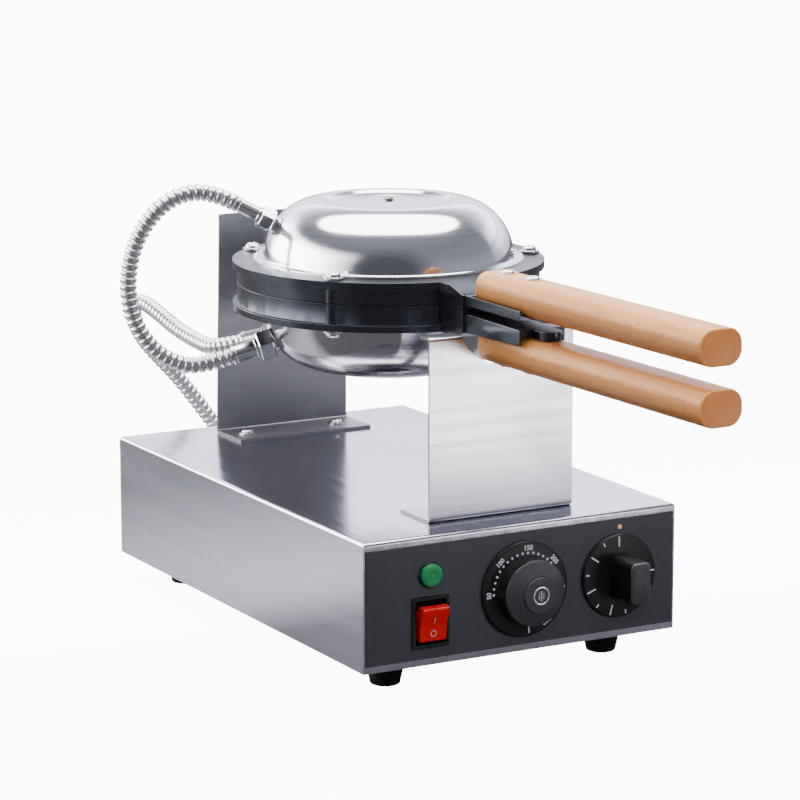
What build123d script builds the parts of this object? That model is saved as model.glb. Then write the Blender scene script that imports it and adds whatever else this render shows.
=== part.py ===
# Bubble waffle maker: a cast two-half mould that flips over in a stand on a stainless steel control base.
# Millimetres. X to the right, Y to the back, Z up. The origin is on the table, under the middle of the base.
import os
from math import atan2, cos, degrees, hypot, pi, radians, sin, tan

from build123d import *

os.makedirs("parts", exist_ok=True)

# Clearances and one overrun for all cuts
overrun = 6
seat_gap = 0.3
running_gap = 0.05

# Base: a folded stainless box on rubber feet
base_width = 250
base_depth = 393
base_height = 91
base_sheet = 1.2
base_bend = 2.5
base_lip = 12
foot_height = 20
foot_top_radius = 15
foot_bottom_radius = 10.5
foot_inset = 37
foot_sides = 20
vent_length = 60
vent_width = 4
vent_pitch = 12
vent_rows = 6

# Front panel and what it carries, with places measured from the foot of the base
panel_side_margin = 1.8
panel_foot_margin = 5
panel_head_margin = 5.6
panel_thickness = 1
panel_rebate = 7
# Room left of the switch, from switch to dial and from dial to timer, in shares of the free width
panel_gap_shares = (73 / 186, 51 / 186, 26 / 186)
lamp_z = 64
lamp_bezel_radius = 9.4
lamp_lens_radius = 8
lamp_bezel_proud = 1.6
lamp_lens_proud = 4.5
switch_z = 31
switch_bezel_width = 29
switch_bezel_height = 36
switch_bezel_proud = 2
switch_wall = 2.6
switch_body_inset = 1.4
switch_body_length = 24
rocker_gap = 0.4
rocker_tilt = 11
rocker_proud = 3.2
rocker_body_depth = 11
rocker_waist_share = 2 / 3
rocker_tail_share = 1 / 3
dial_z = 45
dial_radius = 34
dial_thickness = 3.5
dial_grip_radius = 23.5
dial_grip_front_radius = 21.5
dial_nose_radius = 13.5
dial_grip_length = 17
dial_length = 24
timer_z = 45
timer_radius = 30
timer_thickness = 3
timer_grip_width = 15
timer_grip_height = 29
timer_grip_length = 28
timer_grip_corner = 4
shaft_radius = 3
shaft_reach = 12
shaft_hole_radius = 5
control_bush_length = 3
thermostat_width = 46
thermostat_height = 38
thermostat_depth = 34
timer_body_width = 52
timer_body_height = 54
timer_body_depth = 48
terminal_width = 62
terminal_depth = 24
terminal_height = 20
terminal_ways = 4
terminal_slot = 5
terminal_y_share = 0.22

# Stand: two folded brackets, with their heads set from the height of the roll axis
bracket_width = 115
bracket_sheet = 2
bracket_bend = 3
front_bracket_y = -167.5
front_head_drop = 11.9
front_foot_depth = 41
front_head_depth = 13
notch_gap = 0.4
rear_bracket_y = 171
rear_head_rise = 28.5
rear_foot_depth = 42
bolt_spacing = 77
bolt_head_radius = 5.2
bolt_head_height = 3

# Mould: two castings that meet at the height of the roll axis
mould_y = -5
roll_height = 252.5
rim_radius = 113.4
drum_radius = 110
upper_depth = 16.4
lower_depth = 19
upper_rim = 5.6
lower_rim = 4.9
parting_gap = 0.3
plate_radius = 93
plate_recess = 2.5
bubble_pitch = 29
bubble_radius = 12.6
bubble_floor_radius = 7
bubble_depth = 9.5
bubble_rings = 3

# Arms and handles
arm_half_width = 18
arm_front = -220
neck_front = -147
neck_half_width = 20
neck_root = 6
neck_slope_length = 18
upper_arm_top = 11.4
upper_arm_foot = 4.8
lower_arm_top = -1.5
lower_arm_root = -15
lower_arm_nose = -12
tang_front = -266
tang_half_width = 8
handle_width = 32
handle_height = 24.5
handle_corner = 10.5
handle_edge = 1.2
handle_gap = 0.3
handle_back = -152
upper_handle_front = -433
upper_handle_height = 20.5
lower_handle_front = -434.5
lower_handle_height = -21.2
lower_handle_rise = 3.2

# Hinge at the back of the mould and the swivel in the rear bracket
hinge_offset = 16
hinge_pin_radius = 4
pin_proud = 1.5
knuckle_radius = 8
knuckle_width = 30
ear_width = 12
ear_gap = 0.4
hinge_block_foot = -10
hinge_block_root = 6
hinge_block_slope = 2
swivel_boss_radius = 11
swivel_boss_start = 12.5
swivel_boss_length = 8
swivel_radius = 7
swivel_socket = 6
bush_radius = 10
bush_front = 3
bush_end = 1
nut_flats = 22
nut_height = 8
swivel_tail = 3

# Dome covers, spun from sheet, with the same profile above and below
dome_sheet = 1.2
dome_rim_radius = 102.6
dome_foot_radius = 91.5
dome_wall_radius = 80
dome_wall_height = 28
dome_shoulder_radius = 70
dome_shoulder_height = 37.5
dome_ridge_radius = 48
dome_height = 44
dome_dish_radius = 42
dome_dish_depth = 3

# Heating inside the domes
element_outer_radius = 70
element_inner_radius = 58
element_height = 7
element_sides = 18

# Glands on the domes and on the base, each a neck, a hexagon and a ferrule
link_gland_angle = 160
feed_gland_angle = 130
upper_gland_height = 26
upper_gland_lean = 28
lower_gland_height = 24
lower_gland_lean = 17
gland_neck_radius = 6
gland_neck_inside = 6
gland_neck_outside = 3.5
gland_nut_length = 11
gland_nut_flats = 20
ferrule_radius = 6.8
ferrule_length = 20
feed_gland_x = 10
feed_gland_z = 42
wall_neck_outside = 1
wall_nut_length = 9
wall_ferrule_length = 14
cable_gland_x = 75
cable_gland_z = 30
cable_cap_radius = 8
cable_cap_length = 8

# Ribbed hoses, with their routes from gland to gland
hose_radius = 6.5
hose_valley_radius = 5.6
hose_bore_radius = 4
hose_lead = 25
hose_end_length = 13
rib_rise_share = 0.3
rib_crest_share = 0.7
link_ribs = 11
feed_ribs = 14
arc_share = 0.45
link_route = [
    (-148.5, 49, 318.5),
    (-166.8, 55.7, 304),
    (-178.5, 60, 281),
    (-182.3, 61.4, 254),
    (-178.5, 60, 227),
    (-166.3, 55.5, 206),
    (-147.5, 48.7, 194.5),
]
feed_route = [
    (-85, 135, 189.5),
    (-85.8, 172, 192),
    (-87, 207, 200),
    (-88.7, 236, 205.7),
    (-89, 258, 195),
    (-83, 270, 172),
    (-66, 272, 151),
    (-45, 270, 134.5),
    (-25, 268, 112),
    (0, 262, 79),
]

# Planes and levels that the pieces share
base_foot = foot_height
base_head = foot_height + base_height
base_front = -base_depth / 2
base_back = base_depth / 2
panel_free = base_width - switch_bezel_width - 2 * dial_radius - 2 * timer_radius
side_gap, dial_gap, timer_gap = (share * panel_free for share in panel_gap_shares)
lamp_x = switch_x = side_gap + switch_bezel_width / 2 - base_width / 2
dial_x = switch_x + switch_bezel_width / 2 + dial_gap + dial_radius
timer_x = dial_x + dial_radius + timer_gap + timer_radius
panel_front = base_front - panel_thickness
panel_width = base_width - 2 * panel_side_margin
panel_height = base_height - panel_foot_margin - panel_head_margin
panel_centre = base_foot + panel_foot_margin + panel_height / 2
rim_head = roll_height + upper_depth
rim_foot = roll_height - lower_depth
hinge_y = mould_y + rim_radius + hinge_offset


def facing_front(y):
    """A plane across the machine at this depth, seen from the front: X to the right and Z up."""
    return Plane(origin=(0, y, 0), x_dir=(1, 0, 0), z_dir=(0, -1, 0))


def facing_side(x):
    """A plane along the machine, with Y and Z as its two directions."""
    return Plane(origin=(x, 0, 0), x_dir=(0, 1, 0), z_dir=(1, 0, 0))


def facing_back(x, z):
    """A plane on the back of the base at this place, looking out of the wall."""
    return Plane(origin=(x, base_back, z), x_dir=(-1, 0, 0), z_dir=(0, 1, 0))


def finish(builder, name):
    """Names a finished piece and writes it."""
    builder.part.label = name
    export_step(builder.part, f"parts/{name}.step")


# Base housing
cavity_width = base_width - 2 * base_sheet
cavity_depth = base_depth - 2 * base_sheet
with BuildPart() as base_housing:
    with BuildSketch(Plane.XY.offset(base_foot)):
        Rectangle(base_width, base_depth)
    extrude(amount=base_height)
    fillet(base_housing.edges().group_by(Axis.Z)[-1], base_bend)
    with BuildSketch(Plane.XY.offset(base_foot + 2 * base_sheet)):
        Rectangle(cavity_width, cavity_depth)
    extrude(amount=base_height - 3 * base_sheet, mode=Mode.SUBTRACT)
    with BuildSketch(Plane.XY.offset(base_foot)):
        Rectangle(cavity_width - 2 * base_lip, cavity_depth - 2 * base_lip)
    extrude(amount=overrun, mode=Mode.SUBTRACT)
    with BuildSketch(Plane.XY.offset(base_foot)):
        Rectangle(cavity_width, cavity_depth)
    extrude(amount=base_sheet, mode=Mode.SUBTRACT)
    with BuildSketch(facing_front(base_front)):
        with Locations((0, panel_centre)):
            Rectangle(panel_width - 2 * panel_rebate, panel_height - 2 * panel_rebate)
    extrude(amount=-overrun, mode=Mode.SUBTRACT)
    with BuildSketch(facing_front(base_back)):
        with Locations((feed_gland_x, base_foot + feed_gland_z), (cable_gland_x, base_foot + cable_gland_z)):
            Circle(gland_neck_radius + seat_gap)
    extrude(amount=overrun, mode=Mode.SUBTRACT)
finish(base_housing, "base_housing")

# Base plate, screwed up against the housing's folded lip, with vents
with BuildPart() as base_plate:
    with BuildSketch(Plane.XY.offset(base_foot)):
        Rectangle(cavity_width - 2 * seat_gap, cavity_depth - 2 * seat_gap)
        with GridLocations(0, vent_pitch, 1, vent_rows):
            Rectangle(vent_length, vent_width, mode=Mode.SUBTRACT)
    extrude(amount=base_sheet)
finish(base_plate, "base_plate")

# Rubber feet
with BuildPart() as rubber_feet:
    for foot_x, foot_y in (
        (side * (base_width / 2 - foot_inset), end * (base_depth / 2 - foot_inset))
        for side in (-1, 1)
        for end in (-1, 1)
    ):
        with BuildSketch(Plane(origin=(foot_x, foot_y, 0))):
            RegularPolygon(foot_bottom_radius, foot_sides)
        with BuildSketch(Plane(origin=(foot_x, foot_y, foot_height))):
            RegularPolygon(foot_top_radius, foot_sides)
        loft(ruled=True)
finish(rubber_feet, "rubber_feet")

# Front panel, a coated plate over the opening in the housing's front wall
with BuildPart() as front_panel:
    with BuildSketch(facing_front(base_front)):
        with Locations((0, panel_centre)):
            Rectangle(panel_width, panel_height)
        with Locations((switch_x, base_foot + switch_z)):
            Rectangle(
                switch_bezel_width - 2 * switch_body_inset + 2 * seat_gap,
                switch_bezel_height - 2 * switch_body_inset + 2 * seat_gap,
                mode=Mode.SUBTRACT,
            )
        with Locations((dial_x, base_foot + dial_z), (timer_x, base_foot + timer_z)):
            Circle(shaft_hole_radius, mode=Mode.SUBTRACT)
    extrude(amount=panel_thickness)
finish(front_panel, "front_panel")

# Pilot lamp: a black bezel on the panel, and a green lens in it
with BuildPart() as lamp_bezel:
    with BuildSketch(facing_front(panel_front)):
        with Locations((lamp_x, base_foot + lamp_z)):
            Circle(lamp_bezel_radius)
    extrude(amount=lamp_bezel_proud)
finish(lamp_bezel, "lamp_bezel")

with BuildPart() as lamp_lens:
    with BuildSketch(facing_front(panel_front - lamp_bezel_proud)):
        with Locations((lamp_x, base_foot + lamp_z)):
            Circle(lamp_lens_radius)
    extrude(amount=lamp_lens_proud - lamp_bezel_proud, taper=degrees(atan2(1, 2)))
finish(lamp_lens, "lamp_lens")

# Rocker switch: the frame with its open well, and the rocker that tips in it
well_width = switch_bezel_width - 2 * switch_wall
well_height = switch_bezel_height - 2 * switch_wall
with BuildPart() as switch_frame:
    with BuildSketch(facing_front(panel_front)):
        with Locations((switch_x, base_foot + switch_z)):
            Rectangle(switch_bezel_width, switch_bezel_height)
    extrude(amount=switch_bezel_proud)
    with BuildSketch(facing_front(panel_front)):
        with Locations((switch_x, base_foot + switch_z)):
            Rectangle(
                switch_bezel_width - 2 * switch_body_inset,
                switch_bezel_height - 2 * switch_body_inset,
            )
    extrude(amount=-switch_body_length)
    with BuildSketch(facing_front(panel_front - switch_bezel_proud)):
        with Locations((switch_x, base_foot + switch_z)):
            Rectangle(well_width, well_height)
    extrude(amount=-(switch_bezel_proud + rocker_body_depth + 2 * rocker_gap), mode=Mode.SUBTRACT)
finish(switch_frame, "switch_frame")

rocker_pivot_y = panel_front + rocker_body_depth / 2
rocker_pivot_z = base_foot + switch_z
rocker_reach = rocker_pivot_y - (panel_front - switch_bezel_proud - rocker_proud)
rocker_room = well_height / 2 - rocker_gap - rocker_reach * sin(radians(rocker_tilt))
rocker_head = rocker_room / cos(radians(rocker_tilt))
rocker_waist = rocker_head * rocker_waist_share
rocker_tail = rocker_head * rocker_tail_share
rocker_tail_depth = rocker_body_depth * rocker_tail_share
rocker_plane = Plane(
    origin=(switch_x, rocker_pivot_y, rocker_pivot_z),
    x_dir=(0, cos(radians(rocker_tilt)), sin(radians(rocker_tilt))),
    z_dir=(1, 0, 0),
)
with BuildPart() as rocker:
    with BuildSketch(rocker_plane):
        with BuildLine():
            Polyline(
                (-rocker_reach, -rocker_head),
                (-rocker_reach + rocker_proud / 2, 0),
                (-rocker_reach, rocker_head),
                (0, rocker_waist),
                (rocker_tail_depth, rocker_tail),
                (rocker_tail_depth, -rocker_tail),
                (0, -rocker_waist),
                close=True,
            )
        make_face()
    extrude(amount=well_width / 2 - rocker_gap, both=True)
finish(rocker, "rocker")


def control_shaft(x, z):
    """The spindle of a control, from just off its case to inside its knob."""
    with BuildPart() as shaft:
        with BuildSketch(facing_front(base_front + base_sheet + control_bush_length - seat_gap)):
            with Locations((x, base_foot + z)):
                Circle(shaft_radius)
        extrude(amount=base_sheet + control_bush_length + panel_thickness + shaft_reach - seat_gap)
    return shaft


def control_body(x, z, width, height, depth):
    """A control behind the panel: the case that its spindle comes out of."""
    case_front = base_front + base_sheet + control_bush_length + seat_gap
    with BuildPart() as body:
        with BuildSketch(facing_front(case_front)):
            with Locations((x, base_foot + z)):
                Rectangle(width, height)
        extrude(amount=-depth)
    return body


# Temperature control
with BuildPart() as temperature_knob:
    with BuildSketch(facing_side(dial_x)):
        with BuildLine():
            skirt_back = panel_front - seat_gap
            dial_axis = base_foot + dial_z
            Polyline(
                (skirt_back, dial_axis),
                (skirt_back, dial_axis + dial_radius),
                (skirt_back - dial_thickness, dial_axis + dial_radius),
                (skirt_back - dial_thickness, dial_axis + dial_grip_radius),
                (skirt_back - dial_grip_length, dial_axis + dial_grip_front_radius),
                (skirt_back - dial_length, dial_axis + dial_nose_radius),
                (skirt_back - dial_length, dial_axis),
                close=True,
            )
        make_face()
    revolve(axis=Axis((dial_x, 0, dial_axis), (0, 1, 0)))
    with BuildSketch(facing_front(skirt_back)):
        with Locations((dial_x, dial_axis)):
            Circle(shaft_radius + running_gap)
    extrude(amount=shaft_reach, mode=Mode.SUBTRACT)
finish(temperature_knob, "temperature_knob")
finish(control_shaft(dial_x, dial_z), "thermostat_shaft")
thermostat_case = control_body(dial_x, dial_z, thermostat_width, thermostat_height, thermostat_depth)
finish(thermostat_case, "thermostat_body")

# Timer
with BuildPart() as timer_knob:
    with BuildSketch(facing_front(panel_front - seat_gap)):
        with Locations((timer_x, base_foot + timer_z)):
            Circle(timer_radius)
    extrude(amount=timer_thickness)
    with BuildSketch(facing_front(panel_front - seat_gap - timer_thickness)):
        with Locations((timer_x, base_foot + timer_z)):
            RectangleRounded(timer_grip_width, timer_grip_height, timer_grip_corner)
    extrude(amount=timer_grip_length)
    with BuildSketch(facing_front(panel_front - seat_gap)):
        with Locations((timer_x, base_foot + timer_z)):
            Circle(shaft_radius + running_gap)
    extrude(amount=shaft_reach, mode=Mode.SUBTRACT)
finish(timer_knob, "timer_knob")
finish(control_shaft(timer_x, timer_z), "timer_shaft")
timer_case = control_body(timer_x, timer_z, timer_body_width, timer_body_height, timer_body_depth)
finish(timer_case, "timer_body")

# Terminal block on the base plate
with BuildPart() as terminal_block:
    terminal_pitch = terminal_width / terminal_ways
    with BuildSketch(Plane.XY.offset(base_foot + base_sheet)):
        with Locations((0, base_depth * terminal_y_share)):
            Rectangle(terminal_width, terminal_depth)
    extrude(amount=terminal_height)
    with BuildSketch(Plane.XY.offset(base_foot + base_sheet + terminal_height)):
        with Locations((0, base_depth * terminal_y_share)):
            with GridLocations(terminal_pitch, 0, terminal_ways, 1):
                Rectangle(terminal_slot, terminal_depth + overrun)
    extrude(amount=-terminal_slot, mode=Mode.SUBTRACT)
finish(terminal_block, "terminal_block")

# Front bracket, with a round notch that the lower handle lies in and both handles turn in
handle_reach = max(upper_handle_height, -lower_handle_height) + handle_height / 2 - handle_corner
notch_radius = hypot(handle_width / 2 - handle_corner, handle_reach) + handle_corner + notch_gap
front_bracket_head = roll_height - front_head_drop
with BuildPart() as front_bracket:
    with BuildSketch(facing_side(0)):
        with Locations((front_bracket_y, base_head)):
            Rectangle(front_foot_depth, bracket_sheet, align=(Align.MIN, Align.MIN))
            Rectangle(bracket_sheet, front_bracket_head - base_head, align=(Align.MIN, Align.MIN))
        with Locations((front_bracket_y, front_bracket_head)):
            Rectangle(front_head_depth, bracket_sheet, align=(Align.MIN, Align.MAX))
    extrude(amount=bracket_width / 2, both=True)
    outer_corners = front_bracket.edges().filter_by(Axis.X).group_by(Axis.Y)[0]
    fillet(outer_corners, bracket_bend)
    inner_face = front_bracket_y + bracket_sheet
    near_face = (inner_face - seat_gap, inner_face + seat_gap)
    inner_corners = front_bracket.edges().filter_by(Axis.X).filter_by_position(Axis.Y, *near_face)
    fillet(inner_corners, bracket_bend - bracket_sheet)
    with BuildSketch(facing_front(front_bracket_y - overrun)):
        with Locations((0, roll_height)):
            Circle(notch_radius)
    extrude(amount=-(front_head_depth + 2 * overrun), mode=Mode.SUBTRACT)
finish(front_bracket, "front_bracket")

# Rear bracket, with the hole for the swivel's bush
rear_head = roll_height + rear_head_rise
with BuildPart() as rear_bracket:
    with BuildSketch(facing_side(0)):
        with Locations((rear_bracket_y + bracket_sheet, base_head)):
            Rectangle(rear_foot_depth, bracket_sheet, align=(Align.MAX, Align.MIN))
            Rectangle(bracket_sheet, rear_head - base_head, align=(Align.MAX, Align.MIN))
    extrude(amount=bracket_width / 2, both=True)
    fillet(rear_bracket.edges().filter_by(Axis.X).group_by(Axis.Y)[-1].group_by(Axis.Z)[0], bracket_bend)
    near_face = (rear_bracket_y - seat_gap, rear_bracket_y + seat_gap)
    inner_corners = rear_bracket.edges().filter_by(Axis.X).filter_by_position(Axis.Y, *near_face)
    fillet(inner_corners.group_by(Axis.Z)[0], bracket_bend - bracket_sheet)
    with BuildSketch(facing_front(rear_bracket_y)):
        with Locations((0, roll_height)):
            Circle(bush_radius + running_gap)
    extrude(amount=-overrun, mode=Mode.SUBTRACT)
finish(rear_bracket, "rear_bracket")

# Bolts that hold both brackets down
with BuildPart() as bracket_bolts:
    for bolt_y in (front_bracket_y + front_foot_depth / 2, rear_bracket_y - rear_foot_depth / 2):
        with BuildSketch(Plane.XY.offset(base_head + bracket_sheet)):
            with Locations((0, bolt_y)):
                with GridLocations(bolt_spacing, 0, 2, 1):
                    RegularPolygon(bolt_head_radius, 6)
        extrude(amount=bolt_head_height)
finish(bracket_bolts, "bracket_bolts")

# Places of the bubbles: rings of a triangular grid, without the far corners of the last ring
bubble_places = []
for along in range(-bubble_rings, bubble_rings + 1):
    for across in range(-bubble_rings, bubble_rings + 1):
        bubble_x = bubble_pitch * (along + across / 2)
        bubble_y = bubble_pitch * across * sin(pi / 3)
        if hypot(bubble_x, bubble_y) + bubble_radius < plate_radius:
            bubble_places.append((bubble_x, mould_y + bubble_y))


def mould_half(side, depth, rim, parting):
    """A casting's rim, drum and bubble plate. The side is 1 above and -1 below."""
    face = Plane.XY.offset(roll_height + parting)
    with BuildPart() as half:
        with BuildSketch(face):
            with Locations((0, mould_y)):
                Circle(drum_radius)
        extrude(amount=side * (depth - abs(parting)))
        with BuildSketch(Plane.XY.offset(roll_height + side * depth)):
            with Locations((0, mould_y)):
                Circle(rim_radius)
        extrude(amount=-side * rim)
        with BuildSketch(face):
            with Locations((0, mould_y)):
                Circle(plate_radius)
        extrude(amount=side * plate_recess, mode=Mode.SUBTRACT)
        with BuildSketch(Plane.XY.offset(roll_height + parting + side * plate_recess)):
            with Locations(*bubble_places):
                RegularPolygon(bubble_radius, 6, rotation=30)
        bubble_taper = degrees(atan2(bubble_radius - bubble_floor_radius, bubble_depth))
        extrude(amount=side * bubble_depth, taper=bubble_taper, mode=Mode.SUBTRACT)
    return half


# Lower casting, with a tray under its arm that the handle sits in
tray_width = handle_width + 2 * handle_gap
upper_tray = upper_handle_height - handle_height / 2 - handle_gap
lower_handle_slope = lower_handle_rise / (handle_back - lower_handle_front)
lower_tray_rise = lower_handle_slope * (handle_back - tang_front)
lower_tray = lower_handle_height + handle_height / 2 + lower_tray_rise + handle_gap
knuckle_half = knuckle_width / 2
ear_half = knuckle_half + ear_gap + ear_width
block_front = mould_y + drum_radius - hinge_block_root
neck_back = mould_y - drum_radius + neck_root
swivel_face = hinge_y + swivel_boss_start + swivel_boss_length
lower_half = mould_half(-1, lower_depth, lower_rim, 0)
with BuildPart() as mould_lower:
    add(lower_half.part)
    with BuildSketch(facing_side(0)):
        with BuildLine():
            Polyline(
                (neck_back, roll_height),
                (neck_front, roll_height),
                (neck_front, roll_height + lower_arm_root),
                (neck_front + neck_root, roll_height - lower_depth),
                (neck_back, roll_height - lower_depth),
                close=True,
            )
        make_face()
    extrude(amount=neck_half_width, both=True)
    with BuildSketch(facing_side(0)):
        with BuildLine():
            Polyline(
                (neck_front, roll_height + lower_arm_top),
                (arm_front, roll_height + lower_arm_top),
                (arm_front, roll_height + lower_arm_nose),
                (neck_front, roll_height + lower_arm_root),
                close=True,
            )
        make_face()
    extrude(amount=arm_half_width, both=True)
    with BuildSketch(Plane.XY.offset(roll_height + lower_arm_top)):
        with Locations((0, (arm_front + tang_front) / 2)):
            SlotOverall(arm_front - tang_front + tang_half_width, 2 * tang_half_width, rotation=90)
    extrude(amount=lower_tray - lower_arm_top)
    with BuildSketch(Plane.XY.offset(roll_height + lower_tray)):
        with Locations((0, handle_back + handle_gap)):
            Rectangle(tray_width, handle_back - tang_front, align=(Align.CENTER, Align.MAX))
    extrude(amount=-lower_depth, mode=Mode.SUBTRACT)
    with BuildSketch(Plane.XY.offset(roll_height - lower_depth)):
        with Locations((0, block_front)):
            Rectangle(2 * ear_half, swivel_face - block_front, align=(Align.CENTER, Align.MIN))
    extrude(amount=lower_depth + hinge_block_foot)
    for ear_side in (-1, 1):
        ear_centre = ear_side * (knuckle_half + ear_gap + ear_width / 2)
        with BuildSketch(facing_side(ear_centre)):
            with Locations((hinge_y, roll_height)):
                Circle(knuckle_radius)
            with Locations((hinge_y, roll_height)):
                Rectangle(2 * knuckle_radius, lower_depth, align=(Align.CENTER, Align.MAX))
        extrude(amount=ear_width / 2, both=True)
    with BuildSketch(facing_front(swivel_face)):
        with Locations((0, roll_height)):
            Circle(swivel_boss_radius)
            Rectangle(2 * swivel_boss_radius, lower_depth, align=(Align.CENTER, Align.MAX))
    extrude(amount=swivel_boss_length)
    with BuildSketch(facing_side(0)):
        with Locations((hinge_y, roll_height)):
            Circle(knuckle_radius + 2 * ear_gap)
    extrude(amount=knuckle_half + ear_gap, both=True, mode=Mode.SUBTRACT)
    with BuildSketch(facing_side(0)):
        with Locations((hinge_y, roll_height)):
            Circle(hinge_pin_radius + running_gap)
    extrude(amount=ear_half + overrun, both=True, mode=Mode.SUBTRACT)
    with BuildSketch(facing_front(swivel_face)):
        with Locations((0, roll_height)):
            Circle(swivel_radius + running_gap)
    extrude(amount=swivel_socket, mode=Mode.SUBTRACT)
finish(mould_lower, "mould_lower")

# Upper casting, with the same kind of tray on top of its arm
upper_half = mould_half(1, upper_depth, upper_rim, parting_gap)
with BuildPart() as mould_upper:
    add(upper_half.part)
    with BuildSketch(facing_side(0)):
        with BuildLine():
            Polyline(
                (neck_back, roll_height + parting_gap),
                (neck_front, roll_height + parting_gap),
                (neck_front, roll_height + upper_arm_top),
                (neck_front + neck_slope_length, roll_height + upper_depth),
                (neck_back, roll_height + upper_depth),
                close=True,
            )
        make_face()
    extrude(amount=neck_half_width, both=True)
    with BuildSketch(Plane.XY.offset(roll_height + upper_arm_foot)):
        with Locations((0, (neck_front + arm_front) / 2)):
            Rectangle(2 * arm_half_width, neck_front - arm_front)
    extrude(amount=upper_arm_top - upper_arm_foot)
    with BuildSketch(Plane.XY.offset(roll_height + upper_arm_foot)):
        with Locations((0, (arm_front + tang_front) / 2)):
            SlotOverall(arm_front - tang_front + tang_half_width, 2 * tang_half_width, rotation=90)
    extrude(amount=upper_tray - upper_arm_foot)
    with BuildSketch(Plane.XY.offset(roll_height + upper_tray)):
        with Locations((0, handle_back + handle_gap)):
            Rectangle(tray_width, handle_back - tang_front, align=(Align.CENTER, Align.MAX))
    extrude(amount=upper_depth, mode=Mode.SUBTRACT)
    with BuildSketch(facing_side(0)):
        with BuildLine():
            Polyline(
                (block_front, roll_height + parting_gap),
                (hinge_y, roll_height + parting_gap),
                (hinge_y, roll_height + knuckle_radius),
                (block_front, roll_height + knuckle_radius + hinge_block_slope),
                close=True,
            )
        make_face()
    extrude(amount=knuckle_half, both=True)
    with BuildSketch(facing_side(0)):
        with Locations((hinge_y, roll_height)):
            Circle(knuckle_radius)
    extrude(amount=knuckle_half, both=True)
    with BuildSketch(facing_side(0)):
        with Locations((hinge_y, roll_height)):
            Circle(hinge_pin_radius + running_gap)
    extrude(amount=ear_half + overrun, both=True, mode=Mode.SUBTRACT)
finish(mould_upper, "mould_upper")

# Hinge pin, which shows a little at each ear
with BuildPart() as hinge_pin:
    with BuildSketch(facing_side(0)):
        with Locations((hinge_y, roll_height)):
            Circle(hinge_pin_radius)
    extrude(amount=ear_half + pin_proud, both=True)
finish(hinge_pin, "hinge_pin")

# Swivel: the shaft in the mould's boss, its bush in the rear bracket and the nut behind it
swivel_start = swivel_face + swivel_boss_length - swivel_socket
nut_start = rear_bracket_y + bracket_sheet + bush_end + seat_gap
swivel_end = nut_start + nut_height + swivel_tail
with BuildPart() as swivel_shaft:
    with BuildSketch(facing_front(swivel_start)):
        with Locations((0, roll_height)):
            Circle(swivel_radius)
    extrude(amount=-(swivel_end - swivel_start))
finish(swivel_shaft, "swivel_shaft")

with BuildPart() as swivel_bush:
    with BuildSketch(facing_front(rear_bracket_y - bush_front)):
        with Locations((0, roll_height)):
            Circle(bush_radius)
            Circle(swivel_radius + running_gap, mode=Mode.SUBTRACT)
    extrude(amount=-(bush_front + bracket_sheet + bush_end))
finish(swivel_bush, "swivel_bush")

with BuildPart() as swivel_nut:
    with BuildSketch(facing_front(nut_start)):
        with Locations((0, roll_height)):
            RegularPolygon(nut_flats / 2, 6, major_radius=False)
            Circle(swivel_radius, mode=Mode.SUBTRACT)
    extrude(amount=-nut_height)
finish(swivel_nut, "swivel_nut")


def dome_cover(side, base, openings):
    """A spun cover on a casting, with a hole at each gland's seat. The side is 1 above and -1 below."""
    with BuildPart() as cover:
        with BuildSketch(facing_side(0)):
            with BuildLine():
                outer = (
                    (dome_rim_radius, 0),
                    (dome_rim_radius, dome_sheet),
                    (dome_foot_radius, dome_sheet),
                    (dome_wall_radius, dome_wall_height),
                    (dome_shoulder_radius, dome_shoulder_height),
                    (dome_ridge_radius, dome_height),
                    (dome_dish_radius, dome_height - dome_dish_depth),
                    (0, dome_height - dome_dish_depth),
                )
                inner = (
                    (0, dome_height - dome_dish_depth - dome_sheet),
                    (dome_dish_radius + dome_dish_depth, dome_height - dome_dish_depth - dome_sheet),
                    (dome_shoulder_radius - dome_sheet, dome_shoulder_height - dome_sheet),
                    (dome_wall_radius - dome_sheet, dome_wall_height - dome_sheet / 2),
                    (dome_foot_radius - dome_sheet, 0),
                )
                outline = [(mould_y + reach, base + side * rise) for reach, rise in outer + inner]
                Polyline(*outline, close=True)
            make_face()
        revolve(axis=Axis((0, mould_y, 0), (0, 0, 1)))
        for seat in openings:
            with BuildSketch(seat.offset(-2 * overrun)):
                Circle(gland_neck_radius + seat_gap)
            extrude(amount=3 * overrun, mode=Mode.SUBTRACT)
    return cover


def gland_seat(side, base, angle, height, lean):
    """The plane on a dome's wall that a gland goes through, looking out along the gland."""
    wall_share = height / dome_wall_height
    reach = dome_foot_radius + (dome_wall_radius - dome_foot_radius) * wall_share
    outward = (cos(radians(angle)), sin(radians(angle)))
    return Plane(
        origin=(reach * outward[0], mould_y + reach * outward[1], base + side * height),
        x_dir=(-outward[1], outward[0], 0),
        z_dir=(outward[0] * cos(radians(lean)), outward[1] * cos(radians(lean)), side * sin(radians(lean))),
    )


upper_link_seat = gland_seat(1, rim_head, link_gland_angle, upper_gland_height, upper_gland_lean)
lower_link_seat = gland_seat(-1, rim_foot, link_gland_angle, lower_gland_height, lower_gland_lean)
dome_feed_seat = gland_seat(-1, rim_foot, feed_gland_angle, lower_gland_height, lower_gland_lean)
wall_feed_seat = facing_back(feed_gland_x, base_foot + feed_gland_z)
cable_seat = facing_back(cable_gland_x, base_foot + cable_gland_z)
finish(dome_cover(1, rim_head, [upper_link_seat]), "dome_upper")
finish(dome_cover(-1, rim_foot, [lower_link_seat, dome_feed_seat]), "dome_lower")


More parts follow.
